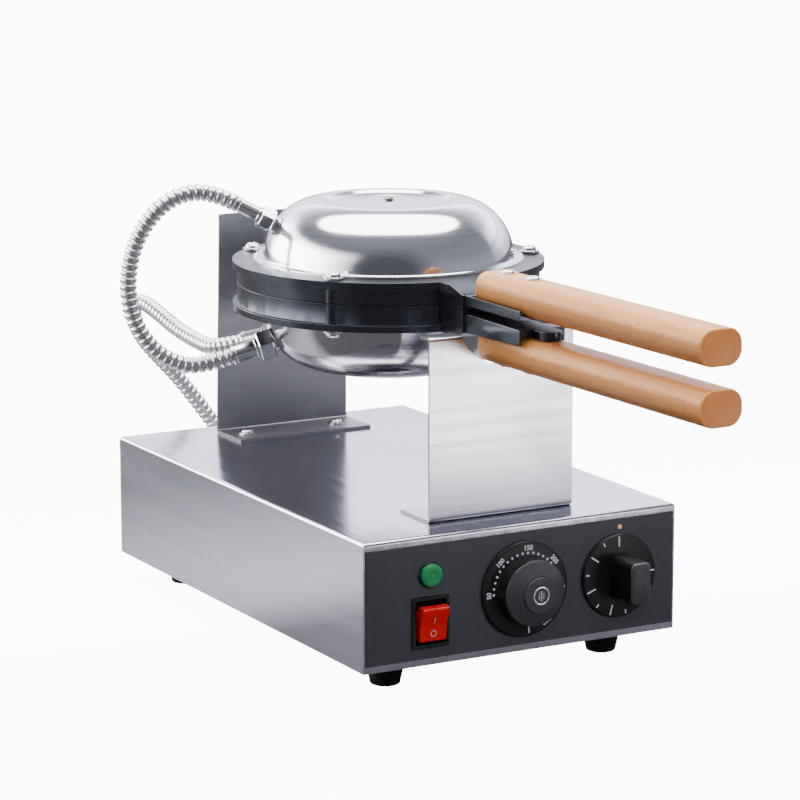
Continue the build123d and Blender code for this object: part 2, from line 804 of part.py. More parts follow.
def heating_element(side, base):
    """A flat ring element that lies against the back of a casting, inside the dome."""
    with BuildPart() as element:
        with BuildSketch(Plane.XY.offset(base + side * seat_gap)):
            with Locations((0, mould_y)):
                RegularPolygon(element_outer_radius, element_sides)
                RegularPolygon(element_inner_radius, element_sides, mode=Mode.SUBTRACT)
        extrude(amount=side * element_height)
    return element


finish(heating_element(1, rim_head), "element_upper")
finish(heating_element(-1, rim_foot), "element_lower")


def gland(seat, neck_outside, nut_length, tail_radius, tail_length):
    """A gland through a wall: its neck, its hexagon and the ferrule that the hose ends in."""
    with BuildPart() as fitting:
        with BuildSketch(seat.offset(-gland_neck_inside)):
            Circle(gland_neck_radius)
        extrude(amount=gland_neck_inside + neck_outside)
        with BuildSketch(seat.offset(neck_outside)):
            RegularPolygon(gland_nut_flats / 2, 6, major_radius=False)
        extrude(amount=nut_length)
        with BuildSketch(seat.offset(neck_outside + nut_length)):
            Circle(tail_radius)
        extrude(amount=tail_length)
    return fitting


dome_gland_sizes = (gland_neck_outside, gland_nut_length, ferrule_radius, ferrule_length)
wall_gland_sizes = (wall_neck_outside, wall_nut_length, ferrule_radius, wall_ferrule_length)
cable_gland_sizes = (wall_neck_outside, wall_nut_length, cable_cap_radius, cable_cap_length)
finish(gland(upper_link_seat, *dome_gland_sizes), "link_gland_upper")
finish(gland(lower_link_seat, *dome_gland_sizes), "link_gland_lower")
finish(gland(dome_feed_seat, *dome_gland_sizes), "feed_gland_dome")
finish(gland(wall_feed_seat, *wall_gland_sizes), "feed_gland_base")
finish(gland(cable_seat, *cable_gland_sizes), "cable_gland")


def handle(front, height, rise):
    """A wooden grip with rounded sides, run from its back end to its front end."""
    lean = atan2(rise, handle_back - front)
    run = (0, -cos(lean), sin(lean))
    with BuildPart() as grip:
        start = Plane(origin=(0, handle_back, roll_height + height), x_dir=(1, 0, 0), z_dir=run)
        with BuildSketch(start):
            RectangleRounded(handle_width, handle_height, handle_corner)
        extrude(amount=hypot(handle_back - front, rise))
        chamfer(grip.faces().sort_by(Axis.Y)[0].edges(), handle_edge)
    return grip


finish(handle(upper_handle_front, upper_handle_height, 0), "handle_upper")
finish(handle(lower_handle_front, lower_handle_height, lower_handle_rise), "handle_lower")


def corner_radii(points):
    """The arc at each corner of a route, as large as its two runs allow."""
    corners = [Vector(*point) for point in points]
    radii = []
    for before, here, after in zip(corners, corners[1:], corners[2:]):
        run_in, run_out = here - before, after - here
        half_turn = radians(run_in.get_angle(run_out)) / 2
        radii.append(arc_share * min(run_in.length, run_out.length) / tan(half_turn))
    return radii


def station_plane(wire, place, steady):
    """A plane across the hose at this distance along it, with its X axis kept steady."""
    along = wire.tangent_at(place, position_mode=PositionMode.LENGTH)
    centre = wire.position_at(place, position_mode=PositionMode.LENGTH)
    return Plane(origin=centre, x_dir=steady - along * steady.dot(along), z_dir=along)


def ribbed_hose(name, start_seat, start_reach, end_seat, end_reach, route, ribs, steady):
    """A ribbed hose with its bore, from one gland's ferrule to another's."""
    points = [
        start_seat.from_local_coords((0, 0, start_reach)),
        start_seat.from_local_coords((0, 0, start_reach + hose_lead)),
        *route,
        end_seat.from_local_coords((0, 0, end_reach + hose_lead)),
        end_seat.from_local_coords((0, 0, end_reach)),
    ]
    points = [tuple(Vector(point)) for point in points]
    radii = corner_radii(points)
    with BuildPart() as hose:
        with BuildLine() as path:
            FilletPolyline(*points, radius=radii)
        wire = path.wires()[0]
        length = wire.length
        pitch = (length - 2 * hose_end_length) / ribs
        spans = [
            [(0, hose_valley_radius), (hose_end_length, hose_valley_radius)],
            [(length - hose_end_length, hose_valley_radius), (length, hose_valley_radius)],
        ]
        for rib in range(ribs):
            foot = hose_end_length + rib * pitch
            spans.append(
                [
                    (foot, hose_valley_radius),
                    (foot + rib_rise_share * pitch, hose_radius),
                    (foot + rib_crest_share * pitch, hose_radius),
                    (foot + pitch, hose_valley_radius),
                ]
            )
        for span in spans:
            for place, radius in span:
                with BuildSketch(station_plane(wire, place, steady)):
                    Circle(radius)
            loft(ruled=True)
        bore_places = [hose_end_length + rib * pitch for rib in range(ribs + 1)]
        for bore_start, bore_end in zip([0] + bore_places, bore_places + [length]):
            for place in (bore_start, bore_end):
                with BuildSketch(station_plane(wire, place, steady)):
                    Circle(hose_bore_radius)
            loft(ruled=True, mode=Mode.SUBTRACT)
    print(name, "length", round(length, 1), "radii", [round(radius, 1) for radius in radii])
    print(name, "points", [tuple(round(value, 1) for value in point) for point in points])
    print(name, "volume for each length", round(hose.part.volume / length, 1), "valid", hose.part.is_valid)
    finish(hose, name)


dome_gland_reach = gland_neck_outside + gland_nut_length + ferrule_length
wall_gland_reach = wall_neck_outside + wall_nut_length + wall_ferrule_length
ribbed_hose(
    "hose_link",
    upper_link_seat,
    dome_gland_reach,
    lower_link_seat,
    dome_gland_reach,
    link_route,
    link_ribs,
    upper_link_seat.x_dir,
)
ribbed_hose(
    "hose_feed",
    dome_feed_seat,
    dome_gland_reach,
    wall_feed_seat,
    wall_gland_reach,
    feed_route,
    feed_ribs,
    Vector(1, 0, 0),
)
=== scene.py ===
"""Bubble waffle maker: the finished pieces, materials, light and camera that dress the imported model."""

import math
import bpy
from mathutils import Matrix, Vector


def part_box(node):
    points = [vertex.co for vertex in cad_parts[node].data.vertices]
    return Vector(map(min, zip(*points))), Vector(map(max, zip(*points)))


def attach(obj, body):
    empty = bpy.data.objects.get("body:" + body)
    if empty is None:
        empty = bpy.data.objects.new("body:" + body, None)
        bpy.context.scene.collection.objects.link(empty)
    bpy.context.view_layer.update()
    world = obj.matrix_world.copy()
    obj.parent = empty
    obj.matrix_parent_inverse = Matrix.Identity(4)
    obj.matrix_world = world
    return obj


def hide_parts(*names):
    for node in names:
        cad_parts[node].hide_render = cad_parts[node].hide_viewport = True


bl_info = {
    "name": "Bubble Waffle Maker",
    "version": (1, 0, 0),
    "blender": (4, 5, 0),
    "location": "View3D > Sidebar > Waffle Maker",
    "description": "Makes the finished pieces of a bubble waffle maker round its packed frame",
    "category": "Object",
}

import bmesh
import bpy
from bpy.props import FloatProperty, FloatVectorProperty, IntProperty, PointerProperty
from mathutils import Vector

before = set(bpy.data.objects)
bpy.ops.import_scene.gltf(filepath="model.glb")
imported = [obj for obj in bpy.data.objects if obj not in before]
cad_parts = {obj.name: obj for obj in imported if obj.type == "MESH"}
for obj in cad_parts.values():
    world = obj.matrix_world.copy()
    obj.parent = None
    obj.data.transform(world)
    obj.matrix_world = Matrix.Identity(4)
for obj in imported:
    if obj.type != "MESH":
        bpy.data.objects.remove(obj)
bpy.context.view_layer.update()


def middle(node):
    """The middle of a CAD node's box."""
    low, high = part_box(node)
    return (low + high) / 2


MM = 0.001
RIGHT = Vector((1, 0, 0))
FRONT = Vector((0, -1, 0))

# Places that the CAD nodes give, in metres
MOULD = Vector((0, -5 * MM, 252.5 * MM))
RIM_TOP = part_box("dome_upper")[0].z
RIM_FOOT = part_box("dome_lower")[1].z
PANEL_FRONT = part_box("front_panel")[0].y
BASE_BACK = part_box("base_housing")[1].y
DIAL = Vector((0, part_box("temperature_knob")[1].y, middle("temperature_knob").z))
TIMER = Vector((middle("timer_knob").x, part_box("timer_knob")[1].y, middle("timer_knob").z))
LAMP = Vector((middle("lamp_bezel").x, PANEL_FRONT, middle("lamp_bezel").z))

# Sizes in millimetres, and angles in degrees
RIM_SCREW_ANGLES = (47, 133, 219.6, 342)
RIM_SCREW_REACH, BOSS_REACH, BOSS_RADIUS = 105, 106.6, 5
TANG_START, TANG_CUT = -240, 32
COVER_SCREW_HEIGHT = 42.3
HANDLE_SCREWS_Y, HANDLE_SCREW_RISE = (-174.4, -207.4), 12.1
HANDLE_WIDTH, HANDLE_HEIGHT, HANDLE_CORNER = 32, 24.5, 10.5
STAND_BOLTS_X, STAND_BOLTS_Y = (-38.5, 38.5), (-147, 150)
FEET_X, FEET_Y = (-88, 88), (-159.5, 159.5)
ROCKER_PIVOT, ROCKER_TILT, ROCKER_HALF_WIDTH = (-73.2, -192, 51), 11, 10.4
STAND_SIDES_X, STAND_LEFT_SHIFT, STAND_RIGHT_SHIFT = 45, (4, 3.5), 1.5
WALL_FOOT_RADIUS, WALL_UPPER_RADIUS, WALL_UPPER_HEIGHT = 91.5, 80, 28
DIAL_FACE, DIAL_FIRST_ANGLE, DOT_STEP, NUMERAL_STEP, POINTER_ANGLE = 3.5, 182, -9.5, 47.5, -85
TIMER_FACE, TICK_STEP = 3, 54

# Each handle: piece, node, body, then its back and front end as (y, z of its middle) in millimetres
GRIPS = (
    ("upper_grip", "handle_upper", "upper_half", (-156.5, 269.6), (-433, 273.0)),
    ("lower_grip", "handle_lower", "lower_half", (-160, 231.4), (-434.5, 234.5)),
)

# Routes of the two hoses, gland to gland, in metres
LINK_ROUTE = (
    (-0.1046, 0.0331, 0.3111),
    (-0.1212, 0.0391, 0.3203),
    (-0.1440, 0.0473, 0.3185),
    (-0.1620, 0.0538, 0.3040),
    (-0.1745, 0.0584, 0.2810),
    (-0.1789, 0.0600, 0.2535),
    (-0.1752, 0.0587, 0.2275),
    (-0.1630, 0.0543, 0.2065),
    (-0.1457, 0.0480, 0.1947),
    (-0.1290, 0.0419, 0.1925),
    (-0.1077, 0.0342, 0.1994),
)
FEED_ROUTE = (
    (-0.0737, 0.0828, 0.1994),
    (-0.0891, 0.1011, 0.1921),
    (-0.0850, 0.1350, 0.1905),
    (-0.0858, 0.1720, 0.1945),
    (-0.0870, 0.2070, 0.2035),
    (-0.0880, 0.2360, 0.2085),
    (-0.0850, 0.2580, 0.1970),
    (-0.0740, 0.2700, 0.1745),
    (-0.0560, 0.2720, 0.1540),
    (-0.0395, 0.2700, 0.1360),
    (-0.0215, 0.2680, 0.1120),
    (0.0010, 0.2620, 0.0790),
    (0.0100, 0.2455, 0.0620),
    (0.0100, 0.2205, 0.0620),
)

# The camera: lens and film width in millimetres, place in metres, turn and downward tilt in degrees
LENS, FILM_WIDTH = 154.83, 36.0
EYE, YAW, PITCH = (-1.19105, -2.16753, 0.67033), 29.04, 11.61

# Each light: name, shape, place, target, width, height, power, and whether polished pieces mirror it
SOFTBOXES = (
    ("top", "ELLIPSE", (0.131, 0.236, 1.9), (0, 0, 0.25), 2.5, 1.9, 135, True),
    ("low", "RECTANGLE", (0.4, -0.89, 0.01), (0.35, -0.8, 1.0), 0.26, 1.1, 8, True),
    ("fill", "RECTANGLE", (-0.3, -2.0, 0.9), (0, 0, 0.25), 1.2, 1.0, 32, False),
)

# Brightness of the room by the rise of a direction: behind the camera, beside the product and behind it
CAMERA_SIDE = ((0.0, 0.12), (0.35, 0.13), (0.85, 0.16), (0.97, 0.5))
BESIDE = ((0.0, 0.5), (0.3, 0.35), (0.6, 0.3), (0.9, 0.4))
FAR_SIDE = (
    *((0.0, 1.3), (0.1, 1.9), (0.15, 2.9), (0.2, 2.7), (0.25, 2.5)),
    *((0.3, 4.5), (0.36, 4.8), (0.5, 1.9), (0.65, 0.8), (0.85, 0.5)),
)
AWAY, LEFTWARDS = (0.4855, 0.874, 0), (-0.874, 0.4855, 0)
WHITE_SEEN, WINDOW = (14, 14, 14, 1), (14, 14, 14.5, 1)


class WaffleSizes(bpy.types.PropertyGroup):
    """Sizes of the pieces that a user may want to change."""

    hose_diameter: FloatProperty(
        name="Hose Diameter", description="Outside of a hose's ribs", default=12.4 * MM, unit="LENGTH"
    )
    rib_pitch: FloatProperty(
        name="Rib Pitch", description="From one rib of a hose to the next", default=5.2 * MM, unit="LENGTH"
    )
    rib_depth: FloatProperty(
        name="Rib Depth", description="Depth of the groove between two ribs", default=1.6 * MM, unit="LENGTH"
    )
    screw_radius: FloatProperty(
        name="Screw Head Radius", description="Radius of a pan head", default=5.4 * MM, unit="LENGTH"
    )
    screw_height: FloatProperty(
        name="Screw Head Height", description="Height of a pan head", default=4 * MM, unit="LENGTH"
    )
    washer_radius: FloatProperty(
        name="Washer Radius", description="Radius of a washer under a screw", default=7.4 * MM, unit="LENGTH"
    )
    edge_softness: FloatProperty(
        name="Edge Softness", description="Rounding of sheet and cast edges", default=0.45 * MM, unit="LENGTH"
    )
    handle_end: FloatProperty(
        name="Handle End", description="Rounding of a handle's ends", default=1.6 * MM, unit="LENGTH"
    )
    dial_dots: IntProperty(
        name="Dial Dots", description="Dots on the temperature knob", default=26, min=2, max=60
    )


class WaffleColours(bpy.types.PropertyGroup):
    """Colours of the finishes."""

    # The blue in the steel and dome colours is painted light: it stands in for the bluish studio light.
    steel: FloatVectorProperty(
        name="Steel", description="Stainless sheet", default=(0.585, 0.585, 0.652), subtype="COLOR"
    )
    dome: FloatVectorProperty(
        name="Dome", description="Polished covers", default=(0.74, 0.75, 0.78), subtype="COLOR"
    )
    casting: FloatVectorProperty(
        name="Casting", description="Dark coated castings", default=(0.006, 0.0065, 0.008), subtype="COLOR"
    )
    panel: FloatVectorProperty(
        name="Panel", description="Coated front panel", default=(0.032, 0.032, 0.041), subtype="COLOR"
    )
    plastic: FloatVectorProperty(
        name="Plastic", description="Black mouldings", default=(0.005, 0.005, 0.006), subtype="COLOR"
    )
    wood: FloatVectorProperty(
        name="Wood", description="Light beech", default=(0.74, 0.31, 0.08), subtype="COLOR"
    )
    wood_grain: FloatVectorProperty(
        name="Wood Grain", description="Dark fibres of the beech", default=(0.47, 0.14, 0.03), subtype="COLOR"
    )
    rocker: FloatVectorProperty(
        name="Rocker", description="Switch rocker", default=(0.46, 0.001, 0.002), subtype="COLOR"
    )
    lens: FloatVectorProperty(
        name="Lens", description="Pilot lamp lens", default=(0.0, 0.12, 0.035), subtype="COLOR"
    )
    ink: FloatVectorProperty(
        name="Ink", description="Printed marks", default=(0.5, 0.5, 0.6), subtype="COLOR"
    )


def sizes():
    return bpy.context.scene.waffle_sizes


def colours():
    return bpy.context.scene.waffle_colours


# Node trees


class Value:
    """A node's result, on which arithmetic adds further nodes."""

    def __init__(self, socket):
        self.socket = socket
        self.tree = socket.id_data

    def math(self, operation, other=0.0):
        return put(self.tree, "ShaderNodeMath", {0: self, 1: other}, operation=operation)

    def __add__(self, other):
        return self.math("ADD", other)

    def __sub__(self, other):
        return self.math("SUBTRACT", other)

    def __mul__(self, other):
        return self.math("MULTIPLY", other)

    def __truediv__(self, other):
        return self.math("DIVIDE", other)

    def __pow__(self, other):
        return self.math("POWER", other)

    def __abs__(self):
        return self.math("ABSOLUTE")

    def vector(self, operation, other=(0, 0, 0), output=0):
        return put(self.tree, "ShaderNodeVectorMath", {0: self, 1: other}, output, operation=operation)

    def axes(self):
        """The three numbers of a vector."""
        return [Value(socket) for socket in add_node(self.tree, "ShaderNodeSeparateXYZ", {0: self}).outputs]

    def spread(self, low, high, to_low=0.0, to_high=1.0):
        """The value carried from one range to another and held inside it."""
        return put(self.tree, "ShaderNodeMapRange", {0: self, 1: low, 2: high, 3: to_low, 4: to_high})

    def mix(self, first, second):
        """One colour blended into another by this share."""
        return put(self.tree, "ShaderNodeMix", {0: self, 6: first, 7: second}, 2, data_type="RGBA")

    def noise(self, scale, detail=2.0, roughness=0.5):
        """Noise at these coordinates."""
        links = {"Vector": self, "Scale": scale, "Detail": detail, "Roughness": roughness}
        return put(self.tree, "ShaderNodeTexNoise", links, "Fac")

    def link(self, socket):
        self.tree.links.new(self.socket, socket)


def add_node(tree, kind, links=None, **settings):
    """Adds a node, sets its settings, and fills its inputs with values or links."""
    node = tree.nodes.new(kind)
    node.location = (len(tree.nodes) % 8 * 220, -(len(tree.nodes) // 8) * 260)
    for key, value in settings.items():
        setattr(node, key, value)
    for key, value in (links or {}).items():
        if isinstance(value, Value):
            value.link(node.inputs[key])
        else:
            node.inputs[key].default_value = value
    return node


def put(tree, kind, links=None, output=0, **settings):
    """One result of a new node."""
    return Value(add_node(tree, kind, links, **settings).outputs[output])


def combined(tree, x=0.0, y=0.0, z=0.0):
    """A vector from three numbers."""
    return put(tree, "ShaderNodeCombineXYZ", {"X": x, "Y": y, "Z": z})


def new_group(name, kind, inputs, outputs):
    """A node group. Each named input has a socket kind and a value, and each named output a socket kind."""
    group = bpy.data.node_groups.new(name, kind)
    for label, (socket, value) in inputs.items():
        made = group.interface.new_socket(name=label, in_out="INPUT", socket_type="NodeSocket" + socket)
        if value is not None:
            made.default_value = value
    for label, socket in outputs.items():
        group.interface.new_socket(name=label, in_out="OUTPUT", socket_type="NodeSocket" + socket)
    given = {socket.name: Value(socket) for socket in group.nodes.new("NodeGroupInput").outputs}
    return group, given, group.nodes.new("NodeGroupOutput").inputs


def effect_group(name, inputs):
    """A group for part of a material, with its place on the piece."""
    outputs = {"Colour": "Color", "Roughness": "Float", "Height": "Float"}
    group, given, out = new_group(name, "ShaderNodeTree", inputs, outputs)
    return group, given, out, put(group, "ShaderNodeTexCoord", output="Object")


def brushed_group():
    """Fine parallel scratches along the direction that is stretched, with a slow cloudiness."""
    inputs = {
        "Stretch": ("Vector", (1, 1, 1)),
        "Scratch Depth": ("Float", 1.0),
        "Cloudiness": ("Float", 0.1),
        "Roughness": ("Float", 0.3),
        "Colour": ("Color", (0.6, 0.6, 0.6, 1)),
    }
    group, given, out, place = effect_group("Brushed Metal", inputs)
    along = place.vector("MULTIPLY", given["Stretch"])
    scratches = along.noise(900.0, 3.0, 0.65)
    streaks = along.noise(160.0, 2.0, 0.6)
    (scratches * given["Scratch Depth"]).link(out["Height"])
    rough = given["Roughness"] + (place.noise(9.0) - 0.5) * given["Cloudiness"]
    (rough + streaks.spread(0.3, 0.7, -0.03, 0.03)).link(out["Roughness"])
    links = {0: given["Colour"], 3: streaks.spread(0.25, 0.75, 0.96, 1.03)}
    put(group, "ShaderNodeVectorMath", links, operation="SCALE").link(out["Colour"])
    return group


def speckle_group():
    """Fine grains of a cast or moulded skin, with slow changes of gloss and colour."""
    inputs = {
        "Grain Size": ("Float", 900.0),
        "Grain Depth": ("Float", 0.5),
        "Roughness": ("Float", 0.4),
        "Colour": ("Color", (0.1, 0.1, 0.1, 1)),
        "Light Colour": ("Color", (0.2, 0.2, 0.2, 1)),
    }
    group, given, out, place = effect_group("Speckled Skin", inputs)
    slow = place.noise(22.0, 3.0, 0.55)
    slow.spread(0.35, 0.75, 0.0, 0.35).mix(given["Colour"], given["Light Colour"]).link(out["Colour"])
    (given["Roughness"] + slow.spread(0.3, 0.7, -0.05, 0.06)).link(out["Roughness"])
    (place.noise(given["Grain Size"], 4.0, 0.7) * given["Grain Depth"]).link(out["Height"])
    return group


# Materials


def opaque(colour, share=1.0):
    """A colour, or a share of its brightness, with full opacity."""
    return (*(min(1.0, share * value) for value in colour), 1.0)


def new_material(name, **sockets):
    """A material with one Principled shader, and its uniform values set on the shader's own sockets."""
    made = bpy.data.materials.new(name)
    made.use_nodes = True
    shader = made.node_tree.nodes["Principled BSDF"]
    for key, value in sockets.items():
        shader.inputs[key.replace("_", " ")].default_value = value
    return made, made.node_tree, shader


def relief(shader, strength, height, distance=0.0003):
    """Gives a shader fine bumps."""
    links = {"Strength": strength, "Distance": distance, "Height": height}
    put(height.tree, "ShaderNodeBump", links).link(shader.inputs["Normal"])


def grouped(name, group_name, bump, values, **sockets):
    """A material whose colour, roughness and height come from an effect's group."""
    made, tree, shader = new_material(name, **sockets)
    makers = {"Brushed Metal": brushed_group, "Speckled Skin": speckle_group}
    group = bpy.data.node_groups.get(group_name) or makers[group_name]()
    node = add_node(tree, "ShaderNodeGroup", values, node_tree=group)
    Value(node.outputs["Colour"]).link(shader.inputs["Base Color"])
    Value(node.outputs["Roughness"]).link(shader.inputs["Roughness"])
    relief(shader, bump, Value(node.outputs["Height"]), 0.0004)
    return made, shader


def brushed(name, colour, roughness, stretch, depth, cloud, bump, share=1.0):
    """A brushed or polished metal."""
    values = {"Stretch": stretch, "Scratch Depth": depth, "Cloudiness": cloud, "Roughness": roughness}
    values["Colour"] = opaque(named_colour(colour), share)
    return grouped(name, "Brushed Metal", bump, values, Metallic=1.0)


def speckled(name, colour, light, roughness, grain, depth, bump, **sockets):
    """A cast, moulded or coated skin. Its light spots are a colour, or a share of the first one."""
    values = {"Grain Size": grain, "Grain Depth": depth, "Roughness": roughness}
    colour = named_colour(colour)
    values["Colour"] = opaque(colour)
    values["Light Colour"] = opaque(light) if isinstance(light, tuple) else opaque(colour, light)
    return grouped(name, "Speckled Skin", bump, values, **sockets)


def named_colour(colour):
    """A colour as it stands, or the user's colour of that name."""
    return getattr(colours(), colour) if isinstance(colour, str) else colour


def spun_steel(name, shade):
    """Polished stainless with faint rings about the mould's axis. A shade below one darkens its colour as
    painted shade.
    """
    made, tree, shader = new_material(name, Metallic=1.0)
    colour = [share * value for share, value in zip(shade, colours().dome)]
    place = put(tree, "ShaderNodeTexCoord", output="Object")
    centred = put(tree, "ShaderNodeMapping", {"Vector": place, "Location": -MOULD})
    reach = centred.vector("MULTIPLY", (1, 1, 0)).vector("LENGTH", output="Value")
    rings = combined(tree, reach).noise(700.0, 3.0, 0.6)
    rough = rings.spread(0.3, 0.7, 0.09, 0.13) + place.noise(14.0).spread(0.3, 0.7, -0.03, 0.05)
    rough.link(shader.inputs["Roughness"])
    rings.spread(0.35, 0.65).mix(opaque(colour, 0.93), opaque(colour)).link(shader.inputs["Base Color"])
    relief(shader, 0.02, rings)
    return made, shader


def facing(shader, axis):
    """How squarely a surface faces along one axis of its piece."""
    return abs(put(shader.id_data, "ShaderNodeTexCoord", output="Normal").axes()[axis])


def beech(name):
    """Oiled beech: long fibres, short dark rays and end grain on the faces that cut the fibres."""
    made, tree, shader = new_material(name, Specular_IOR_Level=0.24, Coat_Weight=0.06, Coat_Roughness=0.3)
    place = put(tree, "ShaderNodeTexCoord", output="Object")
    long_way = place.vector("MULTIPLY", (1, 0.045, 1))
    fibres = long_way.noise(620.0, 3.0, 0.7)
    flecks = place.vector("MULTIPLY", (1, 0.16, 1)).noise(520.0, 1.0, 0.4)
    light, dark = colours().wood, colours().wood_grain
    base = long_way.noise(60.0, 3.0, 0.55).spread(0.32, 0.7, 0.0, 0.55).mix(opaque(light), opaque(dark))
    base = fibres.spread(0.45, 0.72, 0.0, 0.3).mix(base, opaque(dark))
    base = flecks.spread(0.66, 0.74, 0.0, 0.5).mix(base, opaque(dark, 0.6))
    base = facing(shader, 1).spread(0.75, 0.97, 0.0, 0.8).mix(base, opaque(dark, 0.72))
    base.link(shader.inputs["Base Color"])
    fibres.spread(0.3, 0.7, 0.36, 0.5).link(shader.inputs["Roughness"])
    relief(shader, 0.12, fibres)
    return made, shader


def fed(shader, name):
    """What already feeds a shader's socket."""
    return Value(shader.inputs[name].links[0].from_socket)


def bracket_steel(name, share, roughness):
    """Brushed sheet whose cut edges are dark and dull. A share below one darkens its colour as painted shade.
    """
    made, shader = brushed(name, "steel", roughness, (0.02, 1, 1), 1.0, 0.06, 0.012, share)
    cut = facing(shader, 0).spread(0.6, 0.9)
    cut.mix(fed(shader, "Base Color"), (0.1, 0.085, 0.08, 1)).link(shader.inputs["Base Color"])
    (fed(shader, "Roughness") + cut * 0.2).link(shader.inputs["Roughness"])
    return made, shader


def cast_iron(name):
    """The castings' dark coat: glossy round the drums, and duller on the machined flat faces."""
    # The blue specular tint is painted light: it stands in for bluish light in the castings' reflections.
    gloss = {"Specular_IOR_Level": 0.65, "Specular_Tint": (0.74, 0.8, 1.0, 1.0)}
    made, shader = speckled(name, "casting", 1.8, 0.22, 1100.0, 0.6, 0.03, **gloss)
    duller = facing(shader, 2).spread(0.5, 0.95, 0.0, 0.16)
    (fed(shader, "Roughness") + duller).link(shader.inputs["Roughness"])
    return made, shader


def lens_green(name):
    """A green moulded lens with fine crossed ribs behind its face."""
    gloss = {"Specular_IOR_Level": 0.2, "Coat_Weight": 0.12, "Coat_Roughness": 0.05}
    made, tree, shader = new_material(name, Roughness=0.3, **gloss)
    x, _, z = put(tree, "ShaderNodeTexCoord", output="Object").axes()
    ribs = (x * 3300.0).math("SINE") * (z * 3300.0).math("SINE")
    colour = colours().lens
    light = opaque([2.2 * value + 0.05 for value in colour])
    ribs.spread(-0.6, 1.0, 0.0, 0.7).mix(opaque(colour), light).link(shader.inputs["Base Color"])
    relief(shader, 0.25, ribs)
    return made, shader


EVEN = (1, 1, 1)
# Metals: colour, roughness, stretch of the scratches, their depth, cloudiness and bump
BRUSHED = {
    "Housing Steel": ("steel", 0.17, (1, 0.02, 1), 1.0, 0.06, 0.02),
    "Bright Steel": ((0.68, 0.68, 0.7), 0.19, EVEN, 0.4, 0.1, 0.02),
    "Hose Steel": ((0.62, 0.62, 0.62), 0.3, EVEN, 0.6, 0.1, 0.02),
    "Dark Steel": ((0.2, 0.2, 0.21), 0.3, EVEN, 0.4, 0.1, 0.02),
    "Heated Steel": ((0.3, 0.25, 0.22), 0.42, EVEN, 1.0, 0.2, 0.2),
    "Bearing Brass": ((0.6, 0.42, 0.16), 0.3, EVEN, 1.0, 0.12, 0.12),
}
# Skins: colour, light spots, roughness, grain size, grain depth, bump and specular level
SPECKLED = {
    # A lighter copy of the black moulding on the knobs' front faces: painted light, where those faces catch
    # the light and the sides stay dark.
    "Knob Grip": ((0.03, 0.03, 0.034), (0.045, 0.045, 0.05), 0.42, 1600.0, 0.4, 0.1, 0.3),
    "Panel Coating": ("panel", 1.4, 0.34, 1500.0, 0.3, 0.08, 0.25),
    "Black Moulding": ("plastic", 1.8, 0.34, 1600.0, 0.4, 0.12, 0.3),
    "Foot Rubber": ((0.004, 0.004, 0.0045), (0.01, 0.01, 0.01), 0.55, 900.0, 0.6, 0.2, 0.25),
    "Red Rocker": ("rocker", 1.25, 0.25, 500.0, 0.1, 0.03, 0.3),
    "Glazed Ceramic": ((0.72, 0.68, 0.6), (0.8, 0.77, 0.7), 0.3, 500.0, 0.5, 0.2, 0.5),
    "White Ink": ("ink", 1.0, 0.5, 1500.0, 0.3, 0.1, 0.5),
    "Pink Ink": ((0.5, 0.2, 0.2), 1.0, 0.5, 1500.0, 0.3, 0.1, 0.5),
    "Orange Ink": ((0.85, 0.4, 0.16), (0.9, 0.5, 0.25), 0.5, 1500.0, 0.3, 0.1, 0.5),
}
COATS = {"Red Rocker": {"Coat_Weight": 0.1, "Coat_Roughness": 0.1}}
OTHERS = {
    "Bracket Steel": lambda name: bracket_steel(name, 1.0, 0.24),
    # The rear stand's copy at 0.42 of the steel's colour is painted shade, where the mould shades it.
    "Shaded Bracket Steel": lambda name: bracket_steel(name, 0.42, 0.42),
    "Spun Steel": lambda name: spun_steel(name, EVEN),
    # The lower cover's darker, warmer copy is painted shade with a warm painted reflection.
    "Shaded Spun Steel": lambda name: spun_steel(name, (0.6, 0.57, 0.56)),
    "Dark Casting": cast_iron,
    "Oiled Beech": beech,
    "Green Lens": lens_green,
}


def material(name):
    """The named finish, made the first time that a piece asks for it."""
    found = bpy.data.materials.get(name)
    if found:
        return found
    if name in BRUSHED:
        return brushed(name, *BRUSHED[name])[0]
    if name in SPECKLED:
        *values, specular = SPECKLED[name]
        return speckled(name, *values, Specular_IOR_Level=specular, **COATS.get(name, {}))[0]
    return OTHERS[name](name)[0]


# Meshes


def linked(name, data):
    """A new object in the scene."""
    made = bpy.data.objects.new(name, data)
    bpy.context.scene.collection.objects.link(made)
    return made


def evaluated(source):
    """The plain mesh that an object shows."""
    bpy.context.view_layer.update()
    return bpy.data.meshes.new_from_object(source.evaluated_get(bpy.context.evaluated_depsgraph_get()))


def mesh_of(bm, sharp=38.0):
    """A closed mesh with its faces outwards, smooth except along its sharp edges."""
    bmesh.ops.remove_doubles(bm, verts=bm.verts, dist=1e-7)
    bmesh.ops.recalc_face_normals(bm, faces=bm.faces)
    return shaded(bm, sharp)


def shaded(bm, sharp):
    """A mesh that is smooth except along edges sharper than this angle in degrees."""
    mesh = bpy.data.meshes.new("piece")
    bm.to_mesh(mesh)
    bm.free()
    mesh.shade_smooth()
    mesh.set_sharp_from_angle(angle=math.radians(sharp))
    return mesh


def show(name, mesh, body, finish, slot, *replaces):
    """Puts a finished mesh on its body, with its material. Its slot is not used."""
    mesh.name = name
    made = linked(name, mesh)
    mesh.materials.clear()
    mesh.materials.append(material(finish))
    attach(made, body)
    if replaces:
        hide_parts(*replaces)
    return made


